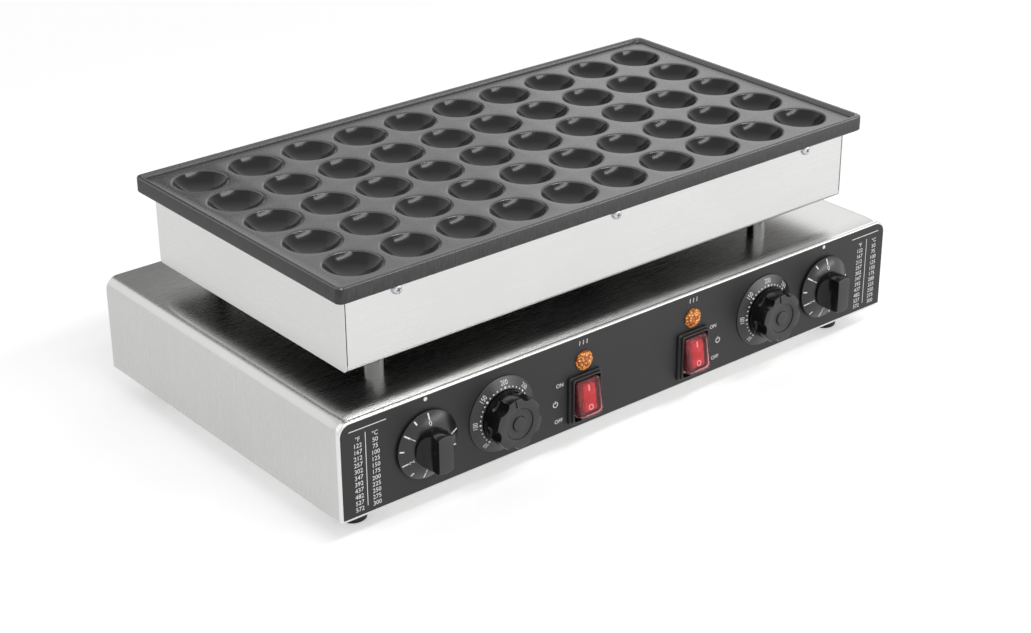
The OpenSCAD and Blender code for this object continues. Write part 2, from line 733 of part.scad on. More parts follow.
// A control's case and threaded bush, with the running bore for its shaft
module dial_case(x, side, depth) translate([x, 0, dial_z]) difference() {
  union() {
    translate([-side / 2, panel_back_y, -side / 2]) cube([side, depth, side]);
    rod_y(bush_r, front_y - bush_out, panel_back_y + cut);
  }
  rod_y(shaft_r + run_gap, front_y - bush_out - cut, panel_back_y + shaft_in);
}

module dial_shaft(x, gap) translate([x, 0, dial_z])
  rod_y(shaft_r, front_y - gap - shaft_seat, panel_back_y + shaft_in - fit_gap);

// The timer's dial with its bar grip
module timer_knob(x) translate([x, 0, dial_z]) difference() {
  root_y = front_y - dial_gap - dial_t;
  front = front_y - timer_reach;
  union() {
    rod_y(dial_r, root_y + dial_rise, front_y - dial_gap);
    translate([0, root_y + dial_rise, 0]) rotate([90, 0, 0])
      cylinder(r1 = dial_r, r2 = hub_r, h = dial_rise);
    intersection() {
      rod_y(hub_r, front, root_y + cut);
      linear_extrude(2 * hub_r, center = true) difference() {
        translate([-hub_r, front]) square([2 * hub_r, root_y + cut - front]);
        for (s = [-1, 1]) grip_scoop(s, front, root_y - hub_flare / 2);
      }
    }
  }
  rod_y(nut_room_r, front_y - bush_out - dial_gap / 2, front_y);
  rod_y(shaft_r + run_gap, front_y - dial_gap - dial_t - shaft_seat, front_y);
}

// What is scooped off each side of the hub to leave the bar
module grip_scoop(s, front, root) {
  flare = hub_r - grip_w / 2;
  difference() {
    translate([s > 0 ? grip_w / 2 : -grip_w / 2 - 2 * flare, front - cut])
      square([2 * flare, root - front + cut]);
    difference() {
      translate([s > 0 ? grip_w / 2 - cut : -grip_w / 2 - 2 * flare, root - flare])
        square([2 * flare + cut, flare + cut]);
      translate([s * (grip_w / 2 + flare), root - flare]) circle(flare);
      translate([s > 0 ? grip_w / 2 + flare : -grip_w / 2 - 2 * flare, root - flare]) square([flare, flare]);
    }
  }
}

module thermostat_bezel(x) translate([x, 0, dial_z]) difference() {
  union() {
    rod_y(bezel_r, front_y - bezel_t + bezel_rise, front_y);
    translate([0, front_y - bezel_t + bezel_rise, 0]) rotate([90, 0, 0])
      cylinder(r1 = bezel_r, r2 = knob_r, h = bezel_rise);
  }
  rod_y(nut_room_r, front_y - bezel_t - cut, front_y + cut);
}

// The fluted thermostat knob
module thermostat_knob(x) translate([x, 0, dial_z]) rotate([0, pointer_angle, 0]) difference() {
  front = front_y - knob_reach;
  root = front_y - bezel_t - knob_gap;
  rod_y(knob_r, front, root);
  for (k = [0 : knob_flutes - 1]) rotate([0, (k + 0.5) * 360 / knob_flutes, 0])
    translate([0, 0, knob_r + flute_r - flute_depth]) rod_y(flute_r, front - cut, root - knob_ring);
  rod_y(knob_dish_r, front - cut, front + knob_dish_depth);
  translate([-pointer_w / 2, front - cut, knob_r - pointer_l])
    cube([pointer_w, pointer_depth + cut, pointer_l + cut]);
  rod_y(shaft_r + run_gap, root - shaft_seat, root + cut);
}

module timer_body_left() color("#d8cfb8") dial_case(-timer_x, timer_box, timer_box_d);

module timer_body_right() color("#d8cfb8") dial_case(timer_x, timer_box, timer_box_d);

module timer_shaft_left() color("silver") dial_shaft(-timer_x, dial_gap + dial_t);

module timer_shaft_right() color("silver") dial_shaft(timer_x, dial_gap + dial_t);

module timer_knob_left() color("#262626") timer_knob(-timer_x);

module timer_knob_right() color("#262626") timer_knob(timer_x);

module thermostat_body_left() color("#c9c3b0") dial_case(-thermostat_x, thermostat_box, thermostat_box_d);

module thermostat_body_right() color("#c9c3b0") dial_case(thermostat_x, thermostat_box, thermostat_box_d);

module thermostat_shaft_left() color("silver") dial_shaft(-thermostat_x, bezel_t + knob_gap);

module thermostat_shaft_right() color("silver") dial_shaft(thermostat_x, bezel_t + knob_gap);

module thermostat_bezel_left() color("#2b2b2b") thermostat_bezel(-thermostat_x);

module thermostat_bezel_right() color("#2b2b2b") thermostat_bezel(thermostat_x);

module thermostat_knob_left() color("#202020") thermostat_knob(-thermostat_x);

module thermostat_knob_right() color("#202020") thermostat_knob(thermostat_x);

module control_nuts() color("lightgray") for (s = [-1, 1], x = [timer_x, thermostat_x])
  translate([s * x, 0, dial_z]) hex_nut_y(control_nut_r, front_y - control_nut_h, front_y, bush_r + hole_gap);

// Switches

// The black frame, its collar and the case behind the panel
module switch_body(x) translate([x, 0, switch_z]) difference() {
  union() {
    along_y(front_y - flange_t, front_y) round_rect(frame_w, frame_h, 2);
    along_y(front_y - collar_h, panel_back_y) square([collar_w, collar_out_h], center = true);
    along_y(panel_back_y, panel_back_y + switch_case_d)
      square([collar_w - 2 * hole_gap, collar_out_h - 2 * hole_gap], center = true);
  }
  along_y(front_y - collar_h - cut, pivot_y + well_depth) square([collar_in_w, collar_in_h], center = true);
  translate([0, pivot_y, 0]) rod_x(pivot_r + run_gap, -collar_w / 2 - cut, collar_w / 2 + cut);
}

// Children set at a switch's pivot and tilted to the ON side, the top pressed in
module at_rocker(x) translate([x, pivot_y, switch_z]) rotate([-rocker_tilt, 0, 0]) children();

module rocker(x) at_rocker(x) {
  along_x(-rocker_w / 2, rocker_w / 2) polygon([
    [-rocker_front, -rocker_half], [-boot_back, -rocker_half], [rocker_root, -rocker_root],
    [rocker_root, rocker_root], [-boot_back, rocker_half], [-rocker_front, rocker_half]]);
  rod_x(pivot_r, fit_gap - collar_w / 2, collar_w / 2 - fit_gap);
}

module rocker_boot(x) at_rocker(x) difference() {
  along_y(-boot_front, -boot_back) round_rect(boot_w, boot_h, boot_corner_r);
  along_y(-rocker_front, -boot_back + cut)
    round_rect(boot_w - 2 * boot_t, boot_h - 2 * boot_t, boot_corner_r - boot_t);
}

module switch_body_left() color("#1e1e1e") switch_body(-switch_x);

module switch_body_right() color("#1e1e1e") switch_body(switch_x);

module rocker_left() color("#d63a3a") rocker(-switch_x);

module rocker_right() color("#d63a3a") rocker(switch_x);

module rocker_boot_left() color("#d9a0a8", 0.5) rocker_boot(-switch_x);

module rocker_boot_right() color("#d9a0a8", 0.5) rocker_boot(switch_x);

// Lamps

module lamp_lens(x) translate([x, 0, lamp_z]) {
  rod_y(lamp_r, front_y - lamp_flange_t, front_y);
  intersection() {
    translate([0, front_y - lamp_flange_t - lamp_dome_h + lamp_ball_r, 0]) sphere(lamp_ball_r);
    rod_y(lamp_r, front_y - lamp_flange_t - lamp_dome_h - cut, front_y - lamp_flange_t / 2);
  }
}

module lamp_body(x) translate([x, 0, lamp_z]) rod_y(lamp_body_r, front_y, front_y + lamp_body_l);

module lamp_lens_left() color("orange") lamp_lens(-switch_x);

module lamp_lens_right() color("orange") lamp_lens(switch_x);

module lamp_body_left() color("white") lamp_body(-switch_x);

module lamp_body_right() color("white") lamp_body(switch_x);

module lamp_nuts() color("white") for (s = [-1, 1]) translate([s * switch_x, 0, lamp_z])
  hex_nut_y(lamp_nut_r, panel_back_y, panel_back_y + lamp_nut_h, lamp_body_r + hole_gap);

// Wiring in the base

module terminal_block() color("ivory") translate([block_x, block_y, base_z]) difference() {
  translate([-block_w / 2, -block_d / 2, 0]) cube([block_w, block_d, block_h]);
  for (k = [-2 : 2]) translate([k * block_w / 6, 0, block_h / 2]) cylinder(r = block_w / 24, h = block_h);
}

module cable_gland() color("#222222") translate([gland_x, 0, gland_z]) difference() {
  union() {
    rod_y(gland_thread_r, back_y - gland_inner, back_y + cut);
    translate([0, back_y, 0]) rotate([-90, 0, 0]) cylinder(r = gland_hex_r, h = gland_reach / 2, $fn = 6);
    rod_y(gland_thread_r, back_y, back_y + gland_reach);
  }
  rod_y(gland_bore_r, back_y - gland_inner - cut, back_y + gland_reach + cut);
}

module gland_nut() color("#222222") translate([gland_x, 0, gland_z])
  hex_nut_y(gland_hex_r, back_y - sheet_t - gland_nut_h, back_y - sheet_t, gland_thread_r + hole_gap);

module earth_stud() color("goldenrod") translate([earth_x, earth_y, foot_top_z - 2]) {
  cylinder(r = stud_nut_r, h = 2);
  cylinder(r = stud_r, h = earth_l);
}

module earth_nut() color("goldenrod") translate([earth_x, earth_y, base_z])
  hex_nut(stud_nut_r, stud_nut_h, stud_r + hole_gap);

// From the gland's inner end to the terminal block
module mains_loom() color("#333333") bent_tube([
  [gland_x, back_y - gland_inner, gland_z], [gland_x, block_y, gland_z],
  [gland_x, block_y, block_port_z], [block_x + block_w / 2, block_y, block_port_z]], loom_r, loom_bend);

// From the terminal block along the floor to one switch
module zone_loom(s, from_x, lane) color("#555555") {
  start_y = block_y - block_d / 2;
  turn_y = start_y - lane * loom_bend;
  switch_back = panel_back_y + switch_case_d;
  bent_tube([[from_x, start_y, block_port_z], [from_x, turn_y, block_port_z],
    [s * switch_x, turn_y, block_port_z], [s * switch_x, switch_back, block_port_z]], loom_r, loom_bend);
}

module zone_loom_left() zone_loom(-1, block_x - block_w / 4, 3);

module zone_loom_right() zone_loom(1, block_x + block_w / 4, 5);

base_shell();
front_panel();
control_overlay();
back_panel();
bottom_plate();
rubber_feet();
foot_screws();
foot_nuts();
bottom_screws();
back_screws();
support_posts();
post_nuts();
housing_tray();
housing_end_left();
housing_end_right();
insulation_board();
baking_plate();
plate_screws();
element_left();
element_right();
clamp_bars();
clamp_studs();
clamp_nuts();
sensor_left();
sensor_right();
timer_body_left();
timer_body_right();
timer_shaft_left();
timer_shaft_right();
timer_knob_left();
timer_knob_right();
thermostat_body_left();
thermostat_body_right();
thermostat_shaft_left();
thermostat_shaft_right();
thermostat_bezel_left();
thermostat_bezel_right();
thermostat_knob_left();
thermostat_knob_right();
control_nuts();
switch_body_left();
switch_body_right();
rocker_left();
rocker_right();
rocker_boot_left();
rocker_boot_right();
lamp_lens_left();
lamp_lens_right();
lamp_body_left();
lamp_body_right();
lamp_nuts();
terminal_block();
cable_gland();
gland_nut();
earth_stud();
earth_nut();
mains_loom();
zone_loom_left();
zone_loom_right();
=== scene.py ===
import math

import bpy
from mathutils import Matrix, Vector


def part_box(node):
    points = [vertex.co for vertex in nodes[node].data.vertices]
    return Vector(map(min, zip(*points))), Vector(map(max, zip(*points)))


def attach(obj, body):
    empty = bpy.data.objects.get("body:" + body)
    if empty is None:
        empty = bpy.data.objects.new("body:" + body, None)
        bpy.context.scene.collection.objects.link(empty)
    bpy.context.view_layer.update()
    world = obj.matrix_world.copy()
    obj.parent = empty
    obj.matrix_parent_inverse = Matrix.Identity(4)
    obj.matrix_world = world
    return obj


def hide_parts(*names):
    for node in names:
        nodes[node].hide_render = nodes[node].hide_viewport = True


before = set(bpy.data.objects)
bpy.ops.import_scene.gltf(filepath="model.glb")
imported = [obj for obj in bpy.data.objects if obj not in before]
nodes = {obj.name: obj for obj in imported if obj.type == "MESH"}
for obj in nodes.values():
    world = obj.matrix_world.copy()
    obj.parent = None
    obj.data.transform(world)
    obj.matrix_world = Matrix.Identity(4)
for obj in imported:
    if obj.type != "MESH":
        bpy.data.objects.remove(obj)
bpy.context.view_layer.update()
mm = 0.001
sides = (("left", -1), ("right", 1))


def boxOf(node):
    # the low and high corner of a CAD node, in mm
    return [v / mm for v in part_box(node)]


frontY = boxOf("control_overlay")[0].y    # printed face of the front panel
backY = boxOf("back_panel")[1].y          # outer face of the back
plateLip = 3                              # height of the plate's lip above its flat
plateFloor = boxOf("baking_plate")[1].z - plateLip
inkThick = 0.06
inkLift = 0.04                            # middle of the ink above the face that it is on
print("frame loaded,", len(nodes), "nodes")


# working helpers, all sizes in mm and all angles in degrees

def objectMode():
    bpy.ops.object.mode_set(mode="OBJECT")


def editAll(kind=None):
    # edit mode with everything selected
    bpy.ops.object.mode_set(mode="EDIT")
    if kind:
        bpy.ops.mesh.select_mode(type=kind)
    bpy.ops.mesh.select_all(action="SELECT")


def freshStart():
    if bpy.context.object and bpy.context.object.mode != "OBJECT":
        objectMode()
    bpy.ops.object.select_all(action="DESELECT")


def makeActive(piece):
    freshStart()
    piece.select_set(True)
    bpy.context.view_layer.objects.active = piece


def added(name, operator, **settings):
    # what the operator adds, under its name
    freshStart()
    operator(**settings)
    piece = bpy.context.object
    piece.name = name
    return piece


def pick(piece, kind, test):
    # selects what passes the test, and stays in edit mode
    makeActive(piece)
    bpy.ops.object.mode_set(mode="EDIT")
    bpy.ops.mesh.select_mode(type=kind)
    bpy.ops.mesh.select_all(action="DESELECT")
    objectMode()
    mesh = piece.data
    for part in {"VERT": mesh.vertices, "EDGE": mesh.edges, "FACE": mesh.polygons}[kind]:
        part.select = bool(test(part))
    bpy.ops.object.mode_set(mode="EDIT")


def edgeTest(piece, test):
    # an edge counts when both its ends pass
    points = piece.data.vertices
    return lambda e: all(test(points[i].co / mm) for i in e.vertices)


def tidyMesh(piece, angle=30):
    # one clean skin, smooth across edges below this angle
    makeActive(piece)
    editAll()
    bpy.ops.mesh.remove_doubles(threshold=0.002 * mm)
    bpy.ops.mesh.normals_make_consistent(inside=False)
    objectMode()
    if angle:
        bpy.ops.object.shade_smooth_by_angle(angle=math.radians(angle))
    else:
        bpy.ops.object.shade_flat()
    return piece


def useModifier(piece, kind, **settings):
    makeActive(piece)
    modifier = piece.modifiers.new(kind.lower(), kind)
    for key, value in settings.items():
        setattr(modifier, key, value)
    bpy.ops.object.modifier_apply(modifier=modifier.name)


def cutWith(piece, cutter):
    useModifier(piece, "BOOLEAN", operation="DIFFERENCE", solver="EXACT", object=cutter, use_self=True)
    bpy.data.objects.remove(cutter)


def softenEdges(piece, width, segments=3):
    useModifier(piece, "BEVEL", width=width * mm, segments=segments, limit_method="ANGLE",
                angle_limit=math.radians(35), use_clamp_overlap=True)


def putAt(piece, place=(0, 0, 0), turn=(0, 0, 0)):
    # place and turn are both taken into the mesh
    makeActive(piece)
    piece.location = Vector(place) * mm
    piece.rotation_euler = [math.radians(t) for t in turn]
    bpy.ops.object.transform_apply(location=True, rotation=True, scale=True)
    return piece


def spin(piece, turn):
    return putAt(piece, turn=(0, 0, turn))


def copyOf(piece, name):
    makeActive(piece)
    bpy.ops.object.duplicate()
    bpy.context.object.name = name
    return bpy.context.object


def joinAll(parts, name):
    freshStart()
    for p in parts:
        p.select_set(True)
    bpy.context.view_layer.objects.active = parts[0]
    bpy.ops.object.join()
    parts[0].name = name
    return parts[0]


def drawOn(shift, scale=(1, 1, 1), centre=(0, 0, 0)):
    # draws the selection on by a shift and scales it there about the centre
    bpy.ops.mesh.extrude_region_move(TRANSFORM_OT_translate={"value": [v * mm for v in shift]})
    bpy.ops.transform.resize(value=scale, center_override=[v * mm for v in centre])


def drawRings(rings):
    # draws the selection, which is the first (width, height, level), on to each of the others
    for (wa, ha, za), (wb, hb, zb) in zip(rings, rings[1:]):
        drawOn((0, 0, zb - za), (wb / wa, hb / ha, 1))


def insets(width, height, *steps):
    # the rings that (cut, level) pairs make of one outline
    return [(width - cut, height - cut, level) for cut, level in steps]


def closeEnd(piece, height):
    # fills the ring at this height
    pick(piece, "VERT", lambda v: abs(v.co.z / mm - height) < 1e-3)
    bpy.ops.mesh.edge_face_add()
    objectMode()


def turned(name, profile, segments=48, closed=True):
    # a lathe shape about Z from (radius, height) pairs, ring by ring
    piece = added(name, bpy.ops.mesh.primitive_circle_add, vertices=segments, radius=profile[0][0] * mm,
                  location=(0, 0, 0), fill_type="NOTHING")
    editAll("EDGE")
    bpy.ops.transform.translate(value=(0, 0, profile[0][1] * mm))
    if closed:
        bpy.ops.mesh.edge_face_add()
    drawRings([(r, r, z) for r, z in profile])
    bpy.ops.mesh.select_all(action="SELECT")
    bpy.ops.mesh.normals_make_consistent(inside=False)
    objectMode()
    return piece


def block(name, size, centre=(0, 0, 0)):
    piece = added(name, bpy.ops.mesh.primitive_cube_add, size=1, location=(0, 0, 0))
    piece.scale = Vector(size) * mm
    return putAt(piece, centre)


def sheet(name, width, height, place=(0, 0, 0), turn=(0, 0, 0)):
    piece = added(name, bpy.ops.mesh.primitive_plane_add, size=1, location=(0, 0, 0))
    piece.scale = (width * mm, height * mm, 1)
    return putAt(piece, place, turn)


def stacked(name, rings, cornerR):
    # a closed shape of rounded rectangles (width, height, level), each drawn on from the one before
    width, height, level = rings[0]
    piece = sheet(name, width, height, (0, 0, level))
    editAll()
    bpy.ops.mesh.bevel(offset=cornerR * mm, segments=5, affect="VERTICES")
    bpy.ops.mesh.select_mode(type="FACE")
    drawRings(rings)
    objectMode()
    return piece


def letters(word, size, x=0, y=0, turn=0, stretch=1.0, line=1.0):
    # flat print, lying in X and Y and facing +Z
    freshStart()
    bpy.ops.object.text_add(location=(0, 0, 0))
    text = bpy.context.object.data
    text.body = word
    text.size = size * mm
    text.align_x = "CENTER"
    text.align_y = "CENTER"
    text.space_line = line
    text.extrude = inkThick / 2 * mm
    text.resolution_u = 3
    bpy.ops.object.convert(target="MESH")
    piece = bpy.context.object
    piece.scale = (stretch, 1, 1)
    return putAt(piece, (x, y, 0), (0, 0, turn))


def bar(w, h, x=0, y=0):
    # a printed stroke
    return block("stroke", (w, h, inkThick), (x, y, 0))


def dot(r, x=0, y=0):
    piece = turned("dot", [(r, -inkThick / 2), (r, inkThick / 2)], 16)
    closeEnd(piece, inkThick / 2)
    return putAt(piece, (x, y, 0))


def flatRing(inner, outer, segments):
    # a printed ring
    h = inkThick / 2
    profile = [(inner, -h), (outer, -h), (outer, h), (inner, h), (inner, -h)]
    return tidyMesh(turned("ring", profile, segments, closed=False))


def onCone(piece, away, turn, cone):
    # lays a flat mark on a cone, given as outer and inner radius, height of its edge and rise
    outer, inner, edge, rise = cone
    putAt(piece, turn=(-math.degrees(math.atan2(rise, outer - inner)), 0, 0))
    putAt(piece, (0, away, edge + (outer - away) * rise / (outer - inner) + inkLift))
    return spin(piece, turn)


# colours and materials

def hexColour(code):
    channel = [int(code[k:k + 2], 16) / 255 for k in (1, 3, 5)]
    return tuple(c / 12.92 if c <= 0.04045 else ((c + 0.055) / 1.055) ** 2.4 for c in channel) + (1.0,)


def addNode(tree, kind, settings=None, links=None):
    node = tree.nodes.new("ShaderNode" + kind)
    for key, value in (settings or {}).items():
        if isinstance(key, str) and hasattr(node, key):
            setattr(node, key, value)
        else:
            node.inputs[key].default_value = value
    for key, socket in (links or {}).items():
        tree.links.new(socket, node.inputs[key])
    return node


def newMaterial(name, **sockets):
    # comes with the place in the piece's own coordinates, which its patterns follow
    material = bpy.data.materials.new(name)
    material.use_nodes = True
    tree = material.node_tree
    shader = tree.nodes["Principled BSDF"]
    for key, value in sockets.items():
        shader.inputs[key.replace("_", " ")].default_value = value
    return material, tree, shader, addNode(tree, "TexCoord").outputs["Object"]


def surface(tree, shader, pattern, dark, light, low, high, height, depth, strength):
    # colour and roughness follow one pattern, and the relief, with its depth in mm, another
    tone = addNode(tree, "ValToRGB", links={"Fac": pattern})
    tone.color_ramp.elements[0].color = hexColour(dark)
    tone.color_ramp.elements[1].color = hexColour(light)
    rough = addNode(tree, "MapRange", {"To Min": low, "To Max": high}, {"Value": pattern})
    bump = addNode(tree, "Bump", {"Distance": depth * mm, "Strength": strength}, {"Height": height})
    tree.links.new(tone.outputs["Color"], shader.inputs["Base Color"])
    tree.links.new(rough.outputs["Result"], shader.inputs["Roughness"])
    tree.links.new(bump.outputs["Normal"], shader.inputs["Normal"])
    return tone


falling = {"To Min": 1.0, "To Max": 0.0}    # for a range that goes from 1 to 0


def belowLevel(tree, at, low, high):
    # 1 below the lower height in mm, 0 above the higher one
    parts = addNode(tree, "SeparateXYZ", links={"Vector": at})
    return addNode(tree, "MapRange", {"From Min": low * mm, "From Max": high * mm, **falling},
                   {"Value": parts.outputs["Z"]}).outputs["Result"]


def brushedStainless(name, grain, dark, light, low=0.2, high=0.3):
    # satin stainless sheet: long fine scratches give faintly streaked, soft reflections; grain is the scratch
    # size in mm along X, Y and Z, drawn wider than real scratches so that it shows
    material, tree, shader, at = newMaterial(name, Metallic=1.0)
    drawn = addNode(tree, "Mapping", {"Scale": [1000 / g for g in grain]}, {"Vector": at})
    streak = addNode(tree, "TexNoise", {"Scale": 1.0, "Detail": 3.0, "Roughness": 0.6},
                     {"Vector": drawn.outputs["Vector"]})
    cloud = addNode(tree, "TexNoise", {"Scale": 1000 / 120, "Detail": 2.0}, {"Vector": at})
    mixed = addNode(tree, "Mix", {"Factor": 0.4}, {"A": streak.outputs["Fac"], "B": cloud.outputs["Fac"]})
    spread = addNode(tree, "MapRange", {"From Min": 0.3, "From Max": 0.7}, {"Value": mixed.outputs["Result"]})
    surface(tree, shader, spread.outputs["Result"], dark, light, low, high, streak.outputs["Fac"], 0.01, 0.06)
    return material


def dullBelow(material, level, colour):
    # below this height in mm the sheet is painted a dark brownish grey: painted shade on the underside, which
    # the base's top reflects
    tree = material.node_tree
    shader = tree.nodes["Principled BSDF"]
    tone = shader.inputs["Base Color"].links[0].from_socket
    at = tree.nodes["Texture Coordinate"].outputs["Object"]
    both = addNode(tree, "Mix", {"data_type": "RGBA", 7: hexColour(colour)},
                   {0: belowLevel(tree, at, level - 0.2, level + 0.2), 6: tone})
    tree.links.new(both.outputs[2], shader.inputs["Base Color"])


def mouldedPlastic(name, dark, light, low, high, grit=0.5, depth=0.03, bump=0.35, patch=14, detail=(2.0, 3.0),
                   share=0.5, **sockets):
    # moulded plastic with a fine spark-eroded grain: a broken soft sheen, slightly paler where it is handled;
    # grit and patch are the sizes of grain and wear in mm, depth the grain's height, share the wear's part;
    # real grain, near 0.05 mm, is too fine to show, so the grit is drawn about ten times as coarse
    material, tree, shader, at = newMaterial(name, **sockets)
    grain = addNode(tree, "TexNoise", {"Scale": 1000 / grit, "Detail": detail[0]}, {"Vector": at})
    wear = addNode(tree, "TexNoise", {"Scale": 1000 / patch, "Detail": detail[1]}, {"Vector": at})
    mixed = addNode(tree, "Mix", {"Factor": share}, {"A": grain.outputs["Fac"], "B": wear.outputs["Fac"]})
    surface(tree, shader, mixed.outputs["Result"], dark, light, low, high, grain.outputs["Fac"], depth, bump)
    return material


def coatedCasting(name, skin, depth, dark, light, low, high, gloss, paintedLightBelow=None, shows=0.0):
    # a metal casting under a sprayed non-stick coat: near black with fine pale flecks, glossy at a low angle;
    # skin is the size in mm of its roughness along X, Y and Z, depth its height and shows its part in the
    # tone, and the last pair of heights in mm mark where the tone turns paler and rougher towards the bottom,
    # a painted light; skin and flecks are drawn coarser than they are, to show
    material, tree, shader, at = newMaterial(name, Specular_IOR_Level=gloss)
    sprayed = addNode(tree, "Mapping", {"Scale": [1000 / k for k in skin]}, {"Vector": at})
    peel = addNode(tree, "TexNoise", {"Scale": 1.0, "Detail": 2.0}, {"Vector": sprayed.outputs["Vector"]})
    fleck = addNode(tree, "TexVoronoi", {"Scale": 1000 / 2.2}, {"Vector": at})
    speck = addNode(tree, "MapRange", {"From Min": 0.05, "From Max": 0.22, **falling},
                    {"Value": fleck.outputs["Distance"]})
    heat = addNode(tree, "TexNoise", {"Scale": 1000 / 70, "Detail": 3.0}, {"Vector": at})
    mixed = addNode(tree, "Mix", {"Factor": 0.4}, {"A": heat.outputs["Fac"], "B": speck.outputs["Result"]})
    if shows:
        marks = addNode(tree, "MapRange", {"From Min": 0.3, "From Max": 0.7}, {"Value": peel.outputs["Fac"]})
        mixed = addNode(tree, "Mix", {"Factor": shows},
                        {"A": mixed.outputs["Result"], "B": marks.outputs["Result"]})
    # painted light: paler below the given heights, in the bottoms of the hollows
    if paintedLightBelow:
        mixed = addNode(tree, "Mix", {"Factor": 0.7},
                        {"A": mixed.outputs["Result"], "B": belowLevel(tree, at, *paintedLightBelow)})
    surface(tree, shader, mixed.outputs["Result"], dark, light, low, high, peel.outputs["Fac"], depth, 0.35)
    return material


def glossyPlastic(name, wave, detail, dark, light, low, high, depth, **sockets):
    # glossy plastic with a slow wavy skin: wave is its size and depth its height in mm
    material, tree, shader, at = newMaterial(name, **sockets)
    flow = addNode(tree, "TexNoise", {"Scale": 1000 / wave, "Detail": detail}, {"Vector": at})
    surface(tree, shader, flow.outputs["Fac"], dark, light, low, high, flow.outputs["Fac"], depth, 0.15)
    return material


def amberLens(name):
    # amber acrylic over a lit lamp, glowing orange; each pebble is painted yellow in its middle and dark red
    # between, a painted glint, and the glow follows the same pattern
    material, tree, shader, at = newMaterial(name, Transmission_Weight=0.15, IOR=1.49)
    pebble = addNode(tree, "TexVoronoi", {"Scale": 1000 / 1.9, "Randomness": 0.7}, {"Vector": at})
    middle = addNode(tree, "MapRange", {"From Min": 0.1, "From Max": 0.6, **falling},
                     {"Value": pebble.outputs["Distance"]}).outputs["Result"]
    tone = surface(tree, shader, middle, "#b4540f", "#ffc566", 0.06, 0.14, middle, 0.4, 0.5)
    glow = addNode(tree, "MapRange", {"To Min": 0.02, "To Max": 0.6}, {"Value": middle})
    tree.links.new(tone.outputs["Color"], shader.inputs["Emission Color"])
    tree.links.new(glow.outputs["Result"], shader.inputs["Emission Strength"])
    return material


across = (70, 0.35, 0.35)     # scratches that run side to side
overBends = (70, 0.35, 70)    # and over the bends
backward = (0.35, 70, 0.35)   # front to back
lathe = (0.6, 0.6, 0.25)      # rings left by turning
# even pale sheets, the front pan brightest, and the end sheets a little darker than the housing's front, a
# painted shade for the ends that turn away from the lamps
wrapSteel = brushedStainless("satin stainless wrap", overBends, "#bcbcbb", "#c8c8c7", 0.22, 0.32)
traySteel = brushedStainless("satin stainless tray", across, "#cececd", "#d8d8d7")
housingSteel = brushedStainless("satin stainless housing", across, "#cececd", "#d8d8d7")
# the housing's underside painted dark, a painted shade for the gap above the base
dullBelow(housingSteel, boxOf("housing_tray")[0].z + 0.5, "#5a5854")
endSteel = brushedStainless("satin stainless end sheet", backward, "#cacac9", "#d4d4d3")
panSteel = brushedStainless("bright stainless front pan", across, "#d6d6d5", "#e2e2e1", 0.14, 0.22)
# posts painted darker than the sheets, a painted shade for the gap between base and housing where they stand,
# with sharp highlights; sparkling zinc, a dull brown sheath, warm copper and soft gold brass
shadedPostSteel = brushedStainless("turned stainless", lathe, "#848483", "#a0a09f", 0.1, 0.2)
zincSteel = brushedStainless("bright zinc-plated steel", (0.8, 0.8, 0.8), "#a9abad", "#d9dcde", 0.18, 0.4)
sheathSteel = brushedStainless("oxidised heater sheath", (6, 2, 2), "#4d4742", "#7d766e", 0.4, 0.6)
copperTube = brushedStainless("drawn copper", (20, 1, 1), "#8f5a38", "#c48a5e", 0.25, 0.45)
yellowBrass = brushedStainless("turned brass", lathe, "#a5823c", "#cdb06a", 0.2, 0.4)

# near black: sharp highlights on the knobs, their front faces painted greyer as a painted light, and duller
# down to the rubber
knobBlack = mouldedPlastic("polished black phenolic", "#0e0e0e", "#1a1a1a", 0.14, 0.24, depth=0.01,
                           Specular_IOR_Level=0.25)
# the greyer black for the knobs' front faces: painted light where the lamps fall on them
litKnobFace = mouldedPlastic("satin black phenolic painted lighter", "#2e2e2e", "#3c3c3c", 0.38, 0.5, depth=0.02,
                          Specular_IOR_Level=0.4)
dialBlack = mouldedPlastic("black phenolic dial", "#101010", "#1c1c1c", 0.24, 0.32, depth=0.012,
                           Specular_IOR_Level=0.6)
frameBlack = mouldedPlastic("black nylon frame", "#141414", "#242424", 0.3, 0.44)
# black for the housing's seam beads, painted shade
seamShadeBlack = mouldedPlastic("black seam shade", "#101010", "#1e1e1e", 0.5, 0.7, grit=0.8, depth=0.04)
feetRubber = mouldedPlastic("black moulded rubber", "#121212", "#232323", 0.7, 0.9, grit=0.9, depth=0.06)
# pale and chalky resin, board and ink, and a dark sleeve with a rough weave
caseResin = mouldedPlastic("ivory moulding resin", "#cfc6ad", "#e2dbc8", 0.5, 0.65)
mineralBoard = mouldedPlastic("pressed mineral board", "#cfc7b2", "#e9e3d4", 0.85, 0.98, grit=2.5, depth=0.4)
loomSleeve = mouldedPlastic("braided loom sleeve", "#1d1d1d", "#444444", 0.6, 0.8, grit=1.2, depth=0.2)
whiteInk = mouldedPlastic("white screen ink", "#e6e6e4", "#f6f6f4", 0.5, 0.6, grit=0.6, depth=0.01)
litInk = mouldedPlastic("white ink lit from behind", "#e6e6e4", "#f6f6f4", 0.5, 0.6, grit=0.6, depth=0.01,
                        Emission_Color=(1, 1, 1, 1), Emission_Strength=0.5)

# polycarbonate film with a fine matt emboss: an even, dark, slightly veiled sheen
filmBlack = mouldedPlastic("black printed film", "#232324", "#303031", 0.4, 0.52, grit=0.45, depth=0.02,
                           bump=0.3, patch=55, detail=(1.0, 2.0), share=0.6, Specular_IOR_Level=0.35)
plateCoat = coatedCasting("non-stick coated casting", (0.9, 0.9, 0.9), 0.05, "#060607", "#4a4a4b", 0.2, 0.3,
                          1.0, shows=0.75)
